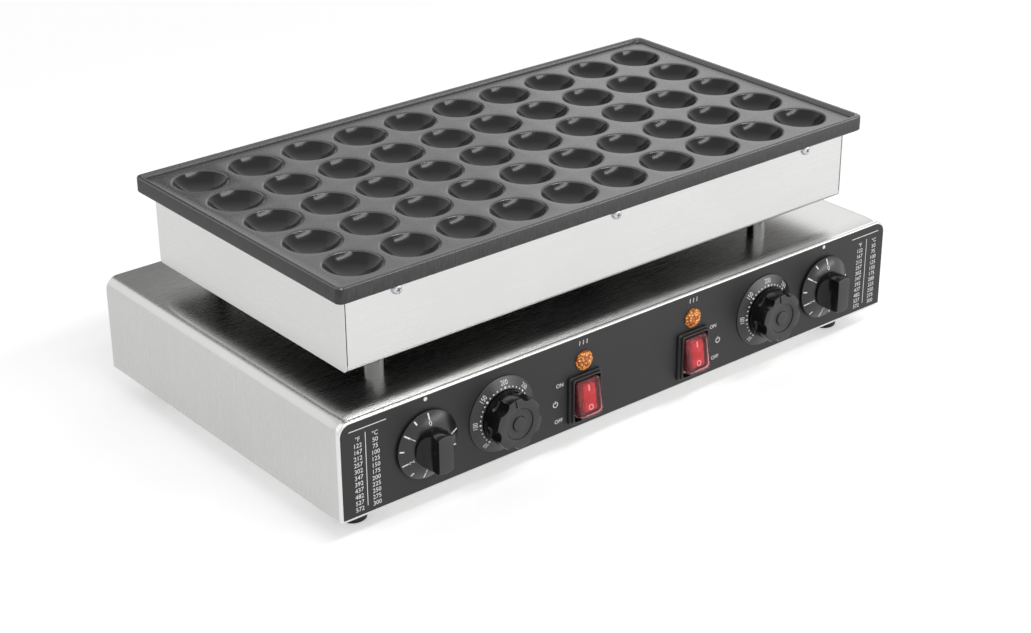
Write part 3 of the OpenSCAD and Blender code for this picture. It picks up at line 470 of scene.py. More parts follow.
# the hollows: a less glossy copy of the coat, painted shade that darkens them, and paler towards their
# bottoms, painted light
hollowCoat = coatedCasting("non-stick coat in the hollows", (1.1, 1.1, 1.1), 0.05, "#0a0a0b", "#464647",
                           0.14, 0.24, 0.3, paintedLightBelow=(plateFloor - 11, plateFloor - 6))
rimCoat = coatedCasting("non-stick coat over a milled rim", (1.5, 1.5, 7), 0.3, "#101010", "#3e3e3e",
                        0.4, 0.6, 0.5, shows=0.7)    # cutter marks run up and down
# saturated red with a little light carried inside, and a darker copy of it below the rib, painted shade in
# the recess under the boot
lit = {"Coat_Weight": 0.3, "Coat_Roughness": 0.1, "Subsurface_Weight": 0.15,
       "Subsurface_Radius": (0.003, 0.0006, 0.0006)}
rockerRed = glossyPlastic("red moulded polycarbonate", 7, 2.0, "#ee4044", "#ff6462", 0.22, 0.34, 0.05, **lit)
shadedRockerRed = glossyPlastic("deep red moulded polycarbonate", 7, 2.0, "#681a20", "#7e2a30", 0.22, 0.34, 0.05,
                           **lit)
# see-through soft vinyl, faintly pink and slightly milky
bootVinyl = glossyPlastic("clear soft vinyl", 5, 1.0, "#dd979d", "#efbcc0", 0.05, 0.12, 0.08,
                          Transmission_Weight=0.95, IOR=1.22)
lensAmber = amberLens("amber acrylic")
print("materials made")

# finishes of the CAD nodes; a name that ends in _ stands for the left one and the right one

finishes = (
    (wrapSteel, "base_shell"), (panSteel, "front_panel"), (filmBlack, "control_overlay"),
    (traySteel, "back_panel bottom_plate"), (housingSteel, "housing_tray"), (endSteel, "housing_end_"),
    (shadedPostSteel, "support_posts"), (mineralBoard, "insulation_board"), (sheathSteel, "element_"),
    (copperTube, "sensor_"), (yellowBrass, "earth_stud earth_nut"), (loomSleeve, "mains_loom zone_loom_"),
    (caseResin, "terminal_block timer_body_ thermostat_body_ lamp_body_ lamp_nuts"),
    (frameBlack, "gland_nut cable_gland switch_body_"), (plateCoat, "baking_plate"),
    (feetRubber, "rubber_feet"),
    (zincSteel, "foot_screws foot_nuts bottom_screws back_screws post_nuts plate_screws clamp_bars"
                " clamp_studs clamp_nuts control_nuts timer_shaft_ thermostat_shaft_"),
    (knobBlack, "timer_knob_ thermostat_knob_ thermostat_bezel_"), (rockerRed, "rocker_"),
    (bootVinyl, "rocker_boot_"), (lensAmber, "lamp_lens_"),
)
finished = 0
for finish, names in finishes:
    for name in names.split():
        for full in [name + side for side, s in sides] if name.endswith("_") else [name]:
            nodes[full].data.materials.clear()
            nodes[full].data.materials.append(finish)
            finished += 1
print("finishes on", finished, "nodes")


def settle(piece, body, material, slotName, *standsFor):
    # the last step of each new piece
    piece.data.materials.clear()
    piece.data.materials.append(material)
    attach(piece, body)
    if standsFor:
        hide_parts(*standsFor)


def alsoFinish(piece, finish, test):
    # a further finish on the faces that pass
    piece.data.materials.append(finish)
    slot = len(piece.data.materials) - 1
    for face in piece.data.polygons:
        if test(face):
            face.material_index = slot


def settlePair(piece, place, body, finish, slotName, node="", lean=0, further=()):
    # the left piece and its copy on the right: what was modelled along +Z looks to the front, with its +Y up;
    # further holds more finishes with their tests
    twin = copyOf(piece, piece.name.replace("left", "right"))
    x, y, z = place
    for (side, s), made in zip(sides, (piece, twin)):
        putAt(made, (s * abs(x), y, z), (90 - lean, 0, 0))
        settle(made, body if body == "base" else body + side, finish, slotName,
               *([node + side] if node else []))
        for extra, test in further:
            alsoFinish(made, extra, test)


def frontTest(level):
    # faces that look to the front, this far before the printed face or farther
    return lambda f: f.normal.y < -0.9 and f.center.y / mm < frontY - level


def spot(node):
    # middle of a CAD node in x and z, and how far it stands in front of the printed face
    low, high = boxOf(node)
    return (low.x + high.x) / 2, (low.z + high.z) / 2, frontY - low.y


# camera, at the photograph's place

cameraAim = {"azimuth": -39.374, "elevation": 25.772, "roll": -0.364, "focal": 2065.78, "photoW": 1031,
             "place": (-912.98, -1116.64, 733.69), "sensor": 36}    # degrees, pixels, and mm for the last two


def addCamera(aim):
    a, e, r = (math.radians(aim[k]) for k in ("azimuth", "elevation", "roll"))
    back = Vector((math.sin(a) * math.cos(e), -math.cos(a) * math.cos(e), math.sin(e)))
    right = Vector((math.cos(a), math.sin(a), 0))
    up = back.cross(right)
    level = math.cos(r) * right + math.sin(r) * up
    upright = math.cos(r) * up - math.sin(r) * right
    turn = Matrix((level, upright, back)).transposed().to_4x4()
    plateMiddle = (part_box("baking_plate")[0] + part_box("baking_plate")[1]) / 2
    place = Vector(aim["place"]) * mm + Vector((0, plateMiddle.y, 0))
    bpy.ops.object.camera_add(location=(0, 0, 0))
    camera = bpy.context.object
    camera.matrix_world = Matrix.Translation(place) @ turn
    camera.data.sensor_width = aim["sensor"]
    camera.data.lens = aim["focal"] / aim["photoW"] * aim["sensor"]
    camera.data.clip_end = 20
    bpy.context.scene.camera = camera


addCamera(cameraAim)
print("camera placed")

# base wrap, one sheet over the top and both sides, its front edge rolled in a little

wrap = {"sheet": 1, "bendR": 10, "bendSteps": 10, "flange": 14, "rollL": 16, "rollIn": 1.4, "rollSteps": 6}


def makeWrap(w):
    low, high = boxOf("base_shell")
    width, height = high.x - low.x, high.z - low.z
    piece = sheet("base_wrap", width, height, (0, high.y, (low.z + high.z) / 2), (90, 0, 0))
    # an outline across the base, round at the top and open at the bottom, with its flanges
    pick(piece, "VERT", lambda v: v.co.z / mm > high.z - 0.1)
    bpy.ops.mesh.bevel(offset=w["bendR"] * mm, segments=w["bendSteps"], affect="VERTICES")
    bpy.ops.mesh.select_all(action="SELECT")
    bpy.ops.mesh.delete(type="ONLY_FACE")
    pick(piece, "EDGE", edgeTest(piece, lambda c: c.z < low.z + 0.1))
    bpy.ops.mesh.delete(type="EDGE")
    for s in (-1, 1):
        pick(piece, "VERT", lambda v: v.co.z / mm < low.z + 0.1 and v.co.x * s / mm > width / 2 - 0.1)
        drawOn((-s * w["flange"], 0, 0))
    objectMode()
    # drawn from the back to the front, where it rolls in
    stations = [(high.y, 0), (low.y + w["rollL"], 0)]
    for k in range(1, w["rollSteps"] + 1):
        t = k / w["rollSteps"]
        stations.append((low.y + w["rollL"] * (1 - t), w["rollIn"] * t * t))
    editAll()
    for (ya, cutA), (yb, cutB) in zip(stations, stations[1:]):
        scale = ((width - 2 * cutB) / (width - 2 * cutA), 1, (height - cutB) / (height - cutA))
        drawOn((0, yb - ya, 0), scale, (0, 0, low.z))
    objectMode()
    tidyMesh(piece, 40)
    topFace = max(piece.data.polygons, key=lambda f: f.center.z)
    if topFace.normal.z < 0:
        piece.data.flip_normals()
    useModifier(piece, "SOLIDIFY", thickness=w["sheet"] * mm, offset=-1)
    tidyMesh(piece, 40)
    settle(piece, "base", wrapSteel, "stainless_sheet", "base_shell")


makeWrap(wrap)
print("wrap made")

# black beads at the joints between the housing's tray and its end sheets, a painted shade for the shadow in
# the seams

seams = {"wide": 0.8, "thick": 0.4, "proud": 0.06, "gap": 0.3, "rise": 5, "edge": 0.12}


def makeSeams(s):
    low, high = boxOf("housing_tray")
    tall = high.z - low.z - s["rise"]
    beads = []
    for x in (low.x - s["gap"] / 2, high.x + s["gap"] / 2):
        for y in (low.y - s["proud"] + s["thick"] / 2, high.y + s["proud"] - s["thick"] / 2):
            bead = block("bead", (s["wide"], s["thick"], tall), (x, y, high.z - tall / 2))
            softenEdges(bead, s["edge"], 2)
            beads.append(bead)
    settle(tidyMesh(joinAll(beads, "housing_seam_beads")), "base", seamShadeBlack, "black_rubber")


makeSeams(seams)
print("seams made")

# baking plate

plate = {"cols": 10, "rows": 5, "pitch": 47, "hollowR": 19.9, "hollowDepth": 11, "edgeR": 1.9, "edgeSteps": 5,
         "ballSteps": 10, "lipW": 3.5, "cornerR": 5, "rimH": 12, "coreIn": 11.3, "skirt": 9, "under": 19}


def makePlate(p):
    low, high = boxOf("baking_plate")
    middle = (low + high) / 2
    halfL, halfW, top = high.x, (high.y - low.y) / 2, high.z
    floor, rim = plateFloor, top - p["rimH"]
    ball = (p["hollowR"] ** 2 + p["hollowDepth"] ** 2) / (2 * p["hollowDepth"])
    # one hollow in its square of floor, with the floor at height 0; the outermost ring becomes the square
    half = p["pitch"] / 2
    mouth = p["hollowR"] + p["edgeR"]
    rings = [(1.5 * half, 0.0), (mouth, 0.0)]
    lean = math.asin(p["hollowR"] / ball)
    for k in range(1, p["edgeSteps"] + 1):
        t = lean * k / p["edgeSteps"]
        rings.append((mouth - p["edgeR"] * math.sin(t) * 1.1, -p["edgeR"] * (1 - math.cos(t)) * 1.1))
    startAngle = math.asin((rings[-1][0] - 0.5) / ball)
    for k in range(p["ballSteps"]):
        t = startAngle * (1 - k / p["ballSteps"])
        rings.append((ball * math.sin(t), ball - p["hollowDepth"] - ball * math.cos(t)))
    tile = turned("baking_plate_coated", rings, 48, closed=False)
    closeEnd(tile, rings[-1][1])
    for v in tile.data.vertices:
        if v.co.xy.length / mm > 1.4 * half:
            v.co.xy *= half * mm / max(abs(v.co.x), abs(v.co.y))
    # ten by five of them
    for axis, count in ((0, p["cols"]), (1, p["rows"])):
        step = [0, 0, 0]
        step[axis] = p["pitch"] * mm
        useModifier(tile, "ARRAY", count=count, use_relative_offset=False, use_constant_offset=True,
                    constant_offset_displace=step, use_merge_vertices=True, merge_threshold=0.01 * mm)
    putAt(tile, (-(p["cols"] - 1) * half, -(p["rows"] - 1) * half, 0))
    # floor, lip, rim and skirt, drawn outwards from the field of hollows and then down and under
    x0, y0 = p["cols"] * half, p["rows"] * half
    atSide = lambda c: abs(c.z) < 1e-3 and (abs(c.x) > x0 - 0.01 or abs(c.y) > y0 - 0.01)
    pick(tile, "EDGE", edgeTest(tile, atSide))
    lip, core, skirt = p["lipW"], p["coreIn"], p["coreIn"] + p["skirt"]
    drawRings([(x0, y0, 0.0)] + insets(
        halfL, halfW, (lip + 1.2, 0), (lip + 0.5, 0.25), (lip + 0.1, 1.0), (lip - 0.1, plateLip - 0.6),
        (lip - 0.4, plateLip - 0.15), (lip - 0.9, plateLip), (1.1, plateLip), (0.4, plateLip - 0.3),
        (0, plateLip - 1.0), (0, rim - floor + 0.8), (0.6, rim - floor), (core, rim - floor),
        (core, low.z - floor), (skirt, low.z - floor), (skirt, top - p["under"] - floor)))
    bpy.ops.mesh.edge_face_add()
    objectMode()
    # rounded corners of the rim
    pick(tile, "EDGE", edgeTest(tile, lambda c: abs(c.x) > halfL - lip - 2 and abs(c.y) > halfW - lip - 2))
    bpy.ops.mesh.bevel(offset=p["cornerR"] * mm, segments=5, affect="EDGES", clamp_overlap=True)
    objectMode()
    tidyMesh(tile, 32)
    putAt(tile, (0, middle.y, floor))
    settle(tile, "base", plateCoat, "coated_casting", "baking_plate")

    def onRim(face):
        away = face.center / mm - middle
        outside = abs(away.x) > halfL - 1.6 or abs(away.y) > halfW - 1.6
        return outside and abs(face.normal.z) < 0.2 and rim + 0.5 < face.center.z / mm < top - 0.5

    def inHollow(face):
        away = face.center / mm - middle
        return (abs(away.x) < x0 and abs(away.y) < y0 and face.center.z / mm < floor - 0.95
                and face.normal.z > 0.1)

    alsoFinish(tile, rimCoat, onRim)
    alsoFinish(tile, hollowCoat, inHollow)
    print("plate,", len(tile.data.polygons), "faces")


makePlate(plate)

# timers, a dial with a bar grip and the print that turns with it

timer = {"dialR": 25, "gap": 1.2, "thick": 5.6, "rise": 4.2, "hubR": 14.5, "gripW": 12, "gripEdge": 0.55,
         "flare": 2, "pocketR": 9.2, "pocketTop": 3.1, "last": 5, "step": 56, "digit": 5.2, "digitR": 17.3,
         "tickR": 24.3, "longTick": 4.8, "shortTick": 3.2, "tickW": 1.1}


def makeTimers(t):
    x, z, reach = spot("timer_knob_left")
    gap, face = t["gap"], t["gap"] + t["thick"]
    edge = face - t["rise"]
    r, hub = t["dialR"], t["hubR"]
    dial = turned("dial", [(t["pocketR"], t["pocketTop"]), (t["pocketR"], gap), (r - 0.4, gap),
                           (r, gap + 0.4), (r, edge - 0.25), (r - 0.25, edge), (hub + 0.2, face - 0.1),
                           (hub - 2, face)], 72)
    grip = turned("grip", [(hub, face - 0.6), (hub, reach - 1.6), (hub - 0.5, reach - 0.5),
                           (hub - 1.8, reach)], 72)
    root = face + t["flare"]
    for s in (-1, 1):
        inner = s * t["gripW"] / 2
        scoop = block("scoop", (hub, 3 * hub, 2 * reach), (inner + s * hub / 2, 0, root + reach))
        pick(scoop, "EDGE", edgeTest(scoop, lambda c: abs(c.x - inner) < 0.01 and abs(c.z - root) < 0.01))
        bpy.ops.mesh.bevel(offset=(hub - t["gripW"] / 2) * mm, segments=8, affect="EDGES")
        objectMode()
        cutWith(grip, scoop)
    softenEdges(grip, t["gripEdge"])
    dialFaces = len(dial.data.polygons)
    knob = tidyMesh(joinAll([dial, grip], "timer_knob_moulded_left"))
    cone = (r, hub, edge, t["rise"])
    marks = []
    for k in range(2 * t["last"] + 1):
        turn = k * t["step"] / 2
        tick = t["shortTick"] if k % 2 else t["longTick"]
        marks.append(onCone(bar(t["tickW"], tick), t["tickR"] - tick / 2, turn, cone))
        if k % 2 == 0:
            marks.append(onCone(letters(str(k // 2), t["digit"]), t["digitR"], turn, cone))
    marking = joinAll(marks, "timer_print_left")
    # the grip's front faces take the greyer black, a painted light
    settlePair(knob, (x, frontY, z), "timer_", knobBlack, "knob_black", "timer_knob_",
               further=((dialBlack, lambda f: f.index < dialFaces), (litKnobFace, frontTest(reach - 1))))
    settlePair(marking, (x, frontY, z), "timer_", whiteInk, "knob_black")


makeTimers(timer)
print("timers made")

# thermostats, a numbered ring that stays and a fluted knob that turns

thermostat = {"ringR": 28.4, "ringT": 4.2, "nutRoomR": 9.2, "gap": 0.7, "knobR": 19.5, "boreR": 3.2,
              "knobEdge": 0.4, "skirt": 4.5, "flutes": 6, "fluteR": 6.5, "fluteDepth": 2.6, "dishR": 11.5,
              "dishDepth": 1.2, "capR": 5.4, "rise": 3.2, "pointer": 12, "pointerW": 1.4, "pointerL": 6,
              "first": 50, "last": 300, "every": 50, "dotEvery": 10, "firstTurn": 140, "sweep": 47.3,
              "digit": 5.2, "narrow": 0.8, "digitR": 24.4, "dotR": 21.1, "bigDot": 0.85, "smallDot": 0.55}


def makeThermostats(t):
    x, z, reach = spot("thermostat_knob_left")
    r, thick, room, knobR = t["ringR"], t["ringT"], t["nutRoomR"], t["knobR"]
    edge = thick - t["rise"]
    ring = turned("thermostat_bezel_moulded_left",
                  [(room, 0), (r, 0), (r, edge - 0.25), (r - 0.25, edge), (knobR + 0.4, thick - 0.15),
                   (knobR, thick - 0.3), (room, thick - 0.3), (room, 0)], 80, closed=False)
    tidyMesh(ring, 20)
    cone = (r, knobR, edge, t["rise"])
    marks = []
    for degree in range(t["first"], t["last"] + 1, t["dotEvery"]):
        turn = t["firstTurn"] - t["sweep"] * (degree - t["first"]) / t["every"]
        numbered = degree % t["every"] == 0
        mark = dot(t["bigDot"] if numbered else t["smallDot"])
        marks.append(onCone(mark, t["dotR"], turn, cone))
        if numbered:
            number = letters(str(degree), t["digit"], stretch=t["narrow"])
            marks.append(onCone(number, t["digitR"], turn, cone))
    marking = joinAll(marks, "thermostat_print_left")
    base, d, dish, cap = thick + t["gap"], reach - t["dishDepth"], t["dishR"], t["capR"]
    knob = turned("thermostat_knob_moulded_left",
                  [(t["boreR"], base), (knobR - 0.5, base), (knobR, base + 0.5), (knobR, reach - 1.0),
                   (knobR - 0.3, reach - 0.3), (knobR - 1.0, reach), (dish + 0.4, reach), (dish, reach - 0.2),
                   (dish - 0.5, d + 0.45), (dish - 1.8, d + 0.1), (dish - 3.6, d), (cap + 0.6, d),
                   (cap + 0.2, d + 0.2), (cap, d + 0.7), (cap - 0.4, d + 0.9), (cap - 2.5, d + 1.0)], 96)
    wide, low = t["fluteR"], base + t["skirt"]
    away = knobR + wide - t["fluteDepth"]
    for k in range(t["flutes"]):
        turn = math.radians((k + 0.5) * 360 / t["flutes"])
        flute = turned("flute", [(wide - 1.2, low), (wide, low + 1.2), (wide, 2 * reach)], 32)
        cutWith(knob, putAt(flute, (-away * math.sin(turn), away * math.cos(turn), 0)))
    cutWith(knob, block("notch", (t["pointerW"], t["pointerL"] + 2, 2),
                        (0, knobR - t["pointerL"] / 2 + 1, reach + 0.2)))
    softenEdges(knob, t["knobEdge"], 2)
    tidyMesh(spin(knob, t["pointer"]))
    place = (x, frontY, z)
    settlePair(ring, place, "base", dialBlack, "knob_black", "thermostat_bezel_")
    settlePair(marking, place, "base", whiteInk, "knob_black")
    # the knob's front faces take the greyer black, a painted light
    settlePair(knob, place, "thermostat_", knobBlack, "knob_black", "thermostat_knob_",
               further=((litKnobFace, frontTest(reach - 2)),))


makeThermostats(thermostat)
print("thermostats made")

# switches, a black frame with a red rocker under a clear boot

switch = {"frame": (30, 37.5), "frameT": 2.4, "frameCorner": 2, "collarT": 1.5, "collarH": 5, "well": 8,
          "caseD": 21.6, "boot": (22.5, 29), "bootFront": 9.8, "bootBack": 2, "bootT": 1, "bootCorner": 3.5,
          "room": 0.75, "tilt": 10.5, "rocker": (17.5, 24), "rockerCorner": 1.2, "foot": (6, -3),
          "rib": (11.5, 20), "ribFront": 8.4, "pivotIn": 1, "pinR": 1.5, "pinL": 26, "stroke": (1.3, 4.6),
          "strokeUp": 7.2, "hoop": (1.3, 2.3), "hoopUp": -7.4}


def makeSwitches(w):
    x, z = spot("switch_body_left")[:2]
    lean = math.radians(w["tilt"])
    bw, bh = w["boot"]
    # the opening has room for the boot's swing at the collar's mouth
    openW = bw + 2 * w["room"]
    openH = 2 * (bh / 2 / math.cos(lean) + (w["collarH"] + w["pivotIn"]) * math.tan(lean) + 0.3)
    outW, outH = openW + 2 * w["collarT"], openH + 2 * w["collarT"]
    t, c = w["frameT"], w["collarH"]
    frameRings = (insets(outW, outH, (0.2, -w["caseD"]), (0.2, -0.1))
                  + insets(*w["frame"], (0, 0), (0, t - 0.5), (0.4, t - 0.1), (0.9, t))
                  + insets(outW, outH, (-0.5, t), (-0.1, t + 0.3), (0, t + 0.8), (0, c - 0.5),
                           (0.3, c - 0.1), (0.8, c))
                  + insets(openW, openH, (-0.8, c), (-0.2, c - 0.2), (0, c - 0.7), (0, -w["well"])))
    body = tidyMesh(stacked("switch_frame_left", frameRings, w["frameCorner"]), 40)
    front, back, wall = w["bootFront"], w["bootBack"], w["bootT"]
    roof = front - wall
    bootRings = (insets(bw - 2 * wall, bh - 2 * wall, (1, roof - 0.05), (0.3, roof - 0.3), (0, roof - 1),
                        (0, back))
                 + insets(bw, bh, (0, back), (0, front - 2.2), (0.3, front - 1.2), (1.0, front - 0.4),
                          (2.2, front), (4.2, front), (5.2, front - 0.25), (6, front - 0.35)))
    boot = tidyMesh(stacked("rocker_boot_moulded_left", bootRings, w["bootCorner"]), 50)
    rise = w["ribFront"]
    rockerRings = ([(w["rocker"][0], *w["foot"])]
                   + insets(*w["rocker"], (0, back), (0, rise - 2.6), (1, rise - 2.1))
                   + insets(*w["rib"], (-0.8, rise - 2.0), (-0.2, rise - 1.7), (0, rise - 0.5),
                            (0.4, rise - 0.1), (1, rise)))
    lever = stacked("lever", rockerRings, w["rockerCorner"])
    r, long = w["pinR"], w["pinL"]
    pin = turned("pin", [(r - 0.3, 0), (r, 0.3), (r, long - 0.3), (r - 0.3, long)], 24)
    putAt(pin, (-long / 2, 0, 0), (0, 90, 0))
    rocker = tidyMesh(joinAll([lever, pin], "rocker_moulded_left"), 40)
    strokes = [bar(*w["stroke"], 0, w["strokeUp"]), putAt(flatRing(*w["hoop"], 32), (0, w["hoopUp"], 0))]
    marking = putAt(joinAll(strokes, "rocker_print_left"), (0, 0, rise + inkLift))
    pivotY = frontY + w["pivotIn"]
    pivot = Vector((0, pivotY, z))
    ahead = Vector((0, math.cos(lean), -math.sin(lean)))
    # faces below the rib take the darker red, a painted shade
    belowRib = lambda f: (pivot - f.center / mm).dot(ahead) < rise - 1.95
    settlePair(body, (x, frontY, z), "base", frameBlack, "switch_black", "switch_body_")
    for piece, finish, slotName, node, further in (
            (boot, bootVinyl, "clear_boot", "rocker_boot_", ()),
            (rocker, rockerRed, "rocker_red", "rocker_", ((shadedRockerRed, belowRib),)),
            (marking, litInk, "rocker_red", "", ())):
        settlePair(piece, (x, pivotY, z), "switch_", finish, slotName, node, w["tilt"], further)


makeSwitches(switch)
print("switches made")

# lamps, a faceted amber jewel each

lamp = {"flangeR": 7.5, "flangeT": 1.6, "domeR": 6.7, "domeH": 4, "around": 16, "levels": 5, "facet": 0.3}


def makeLamps(p):
    x, z = spot("lamp_lens_left")[:2]
    ball = (p["domeR"] ** 2 + p["domeH"] ** 2) / (2 * p["domeH"])
    spread = math.asin(p["domeR"] / ball)
    r, thick = p["flangeR"], p["flangeT"]
    rings = [(r - 0.2, 0), (r, 0.3), (r, thick - 0.4), (r - 0.3, thick)]
    for k in range(p["levels"] + 1):
        lean = spread * (1 - k / (p["levels"] + 0.6))
        rings.append((ball * math.sin(lean), thick + p["domeH"] - ball * (1 - math.cos(lean)) - p["facet"]))
    jewel = turned("lamp_jewel_left", rings, p["around"])
    pick(jewel, "FACE", lambda f: f.center.z / mm > thick)
    bpy.ops.mesh.poke(offset=p["facet"] * mm)
    objectMode()
    settlePair(tidyMesh(jewel, 0), (x, frontY, z), "base", lensAmber, "amber_lens", "lamp_lens_")


makeLamps(lamp)
print("lamps made")

# screws, each head with a cross recess

screws = {"plateHead": (4, 2.6), "plateShank": (2.5, 9), "sheetHead": (3.6, 2.2), "sheetShank": (1.9, 8),
          "plateXs": (-194, 0, 194), "plateDrop": 6.5, "sideIn": 7, "rows": (0.12, 0.5, 0.88),
          "heights": (0.25, 0.75), "firstTurn": 25, "nextTurn": 70}


def makeScrew(name, head, shank):
    # head up, seated at height 0
    headR, headH = head
    shankR, shankL = shank
    piece = turned(name, [(shankR * 0.6, -shankL), (shankR, -shankL + 1), (shankR, 0), (headR - 0.2, 0),
                          (headR, 0.25), (headR * 0.97, headH * 0.35), (headR * 0.86, headH * 0.75),
                          (headR * 0.66, headH * 0.95), (headR * 0.4, headH)], 40)
    for turn in (0, 90):
        slit = block("slit", (headR * 1.05, headR * 0.24, headH), (0, 0, headH))
        pick(slit, "FACE", lambda f: f.normal.z < -0.5)
        bpy.ops.transform.resize(value=(0.6, 0.8, 1))
        objectMode()
        cutWith(piece, spin(slit, turn))
    return tidyMesh(piece, 35)


def placeScrews(model, name, places, turnOf, node):
    copies = []
    for k, place in enumerate(places):
        made = spin(copyOf(model, "screw"), screws["firstTurn"] + screws["nextTurn"] * k)
        copies.append(putAt(made, place, turnOf(place)))
    settle(joinAll(copies, name), "base", zincSteel, "zinc_steel", node)


def makeScrews(s):
    low, high = boxOf("housing_tray")
    baseLow, baseHigh = boxOf("base_shell")
    underZ = boxOf("bottom_plate")[0].z
    depth, height = backY - frontY, baseHigh.z - baseLow.z
    edgeX = baseHigh.x - s["sideIn"]
    model = makeScrew("plate_screw", s["plateHead"], s["plateShank"])
    places = [(x, y, high.z - s["plateDrop"]) for x in s["plateXs"] for y in (low.y, high.y)]
    placeScrews(model, "plate_screws_turned", places, lambda p: (90 if p[1] < 0 else -90, 0, 0),
                "plate_screws")
    bpy.data.objects.remove(model)
    model = makeScrew("sheet_screw", s["sheetHead"], s["sheetShank"])
    places = [(x, backY, baseLow.z + k * height) for x in (-edgeX, edgeX) for k in s["heights"]]
    placeScrews(model, "back_screws_turned", places, lambda p: (-90, 0, 0), "back_screws")
    places = [(x, frontY + k * depth, underZ) for x in (-edgeX, edgeX) for k in s["rows"]]
    placeScrews(model, "bottom_screws_turned", places, lambda p: (180, 0, 0), "bottom_screws")
    bpy.data.objects.remove(model)


makeScrews(screws)
print("screws made")

# rubber feet

feet = {"topR": 12, "tipR": 10, "height": 19, "wellR": 5.2, "web": 9, "boreR": 2.6, "insetX": 30,
        "insetY": 32}


def makeFeet(f):
    low, high = boxOf("base_shell")
    top, tip, h, well, bore = (f[k] for k in ("topR", "tipR", "height", "wellR", "boreR"))
    web = h - f["web"]
    rings = [(bore, h), (top - 0.5, h), (top, h - 0.5), (top - 0.25, h - 2.4), (top - 0.8, h - 2.8),
             (top - 0.8, h - 3.4), (top - 0.5, h - 3.8), (tip + 0.15, 1.6), (tip - 0.1, 0.6), (tip - 0.8, 0),
             (well + 0.6, 0), (well, 0.6), (well, web), (bore, web), (bore, h)]
    model = tidyMesh(turned("foot", rings, 48, closed=False))
    copies = [putAt(copyOf(model, "foot"), (x, y, 0)) for x in (low.x + f["insetX"], high.x - f["insetX"])
              for y in (frontY + f["insetY"], backY - f["insetY"])]
    bpy.data.objects.remove(model)
    settle(joinAll(copies, "rubber_feet_moulded"), "base", feetRubber, "black_rubber", "rubber_feet")


makeFeet(feet)
print("feet made")

# cord entry at the back

gland = {"hexR": 10.8, "hexH": 7, "threadR": 8, "reach": 14, "inner": 9, "boreR": 4.5, "pitch": 1.5,
         "ribs": 18, "rib": (0.7, 0.7, 3.4), "ribUp": 2.2, "ribIn": 0.985}


def makeGland(g):
    x, z = spot("cable_gland")[:2]
    seatY = boxOf("cable_gland")[1].y - g["reach"]
    r, hexR, hexH, reach, inner, bore = (g[k] for k in ("threadR", "hexR", "hexH", "reach", "inner", "boreR"))
    rings = [(bore, -inner), (r - 0.6, -inner)]
    for k in range(int((inner - 1) / g["pitch"])):
        rings += [(r - 0.6, -inner + (k + 0.25) * g["pitch"]), (r - 0.05, -inner + (k + 0.75) * g["pitch"])]
    rings += [(r - 0.05, 0), (r - 0.05, hexH + 4), (r - 0.3, hexH + 5), (r - 1.2, reach - 0.7),
              (r - 2.2, reach), (bore + 0.5, reach), (bore, reach - 0.6), (bore, -inner)]
    sleeve = turned("sleeve", rings, 48, closed=False)
    wrench = turned("wrench", [(r - 0.5, 0.02), (hexR, 0.02), (hexR, hexH - 0.8), (hexR * 0.93, hexH),
                               (r - 0.5, hexH), (r - 0.5, 0.02)], 6, closed=False)
    softenEdges(spin(wrench, 30), 0.35, 2)
    ribs = []
    for k in range(g["ribs"]):
        turn = math.radians(360 / g["ribs"] * k)
        place = (r * math.sin(turn) * g["ribIn"], r * math.cos(turn) * g["ribIn"], hexH + g["ribUp"])
        ribs.append(block("rib", g["rib"], place))
    ribbed = joinAll(ribs, "ribs")
    softenEdges(ribbed, 0.15, 2)
    piece = tidyMesh(joinAll([sleeve, wrench, ribbed], "cable_gland_moulded"), 35)
    putAt(piece, (x, seatY, z), (-90, 0, 0))
    settle(piece, "base", frameBlack, "switch_black", "cable_gland")


makeGland(gland)
print("gland made")

# white print on the front film

printing = {"dotX": 192.5, "dotZ": 89.7, "dotR": 1.5, "ruleX": 242, "ruleW": 0.5, "ruleLow": 27,
            "ruleHigh": 82.5, "row": 4.78, "rowTop": 79.5, "digit": 4.7, "headX": 240, "headZ": 86.2,
            "headW": 30, "headH": 0.6, "word": 4.4, "wave": 6.5, "waveStep": 3.4, "waveX": 53.5, "waveZ": 87,
            "sign": (1.7, 2.3), "signGap": (1.8, 2.4), "signStroke": (0.6, 2.4), "first": 50, "last": 300,
            "every": 25}
columns = {"left": (-248.4, -234.3), "right": (234.7, 250.7)}
words = {"left": (("ON", -75, 59.8), ("OFF", -76, 31.8)), "right": (("ON", 75, 58.8), ("OFF", 78, 32.4))}
powerSigns = {"left": (-79, 46), "right": (80.5, 46)}


def numberColumn(heading, values, x, p):
    text = "\n".join([heading] + [str(v) for v in values])
    piece = letters(text, p["digit"], line=p["row"] / p["digit"])
    high = max(v.co.y for v in piece.data.vertices) / mm
    return putAt(piece, (x, p["rowTop"] + p["digit"] / 3 - high, 0))


def powerSign(x, y, p):
    # an open ring with a stroke at its top
    ring = flatRing(*p["sign"], 40)
    cutWith(ring, block("opening", (*p["signGap"], 1), (0, 2, 0)))
    return [putAt(ring, (x, y, 0)), bar(*p["signStroke"], x, y + p["sign"][0])]


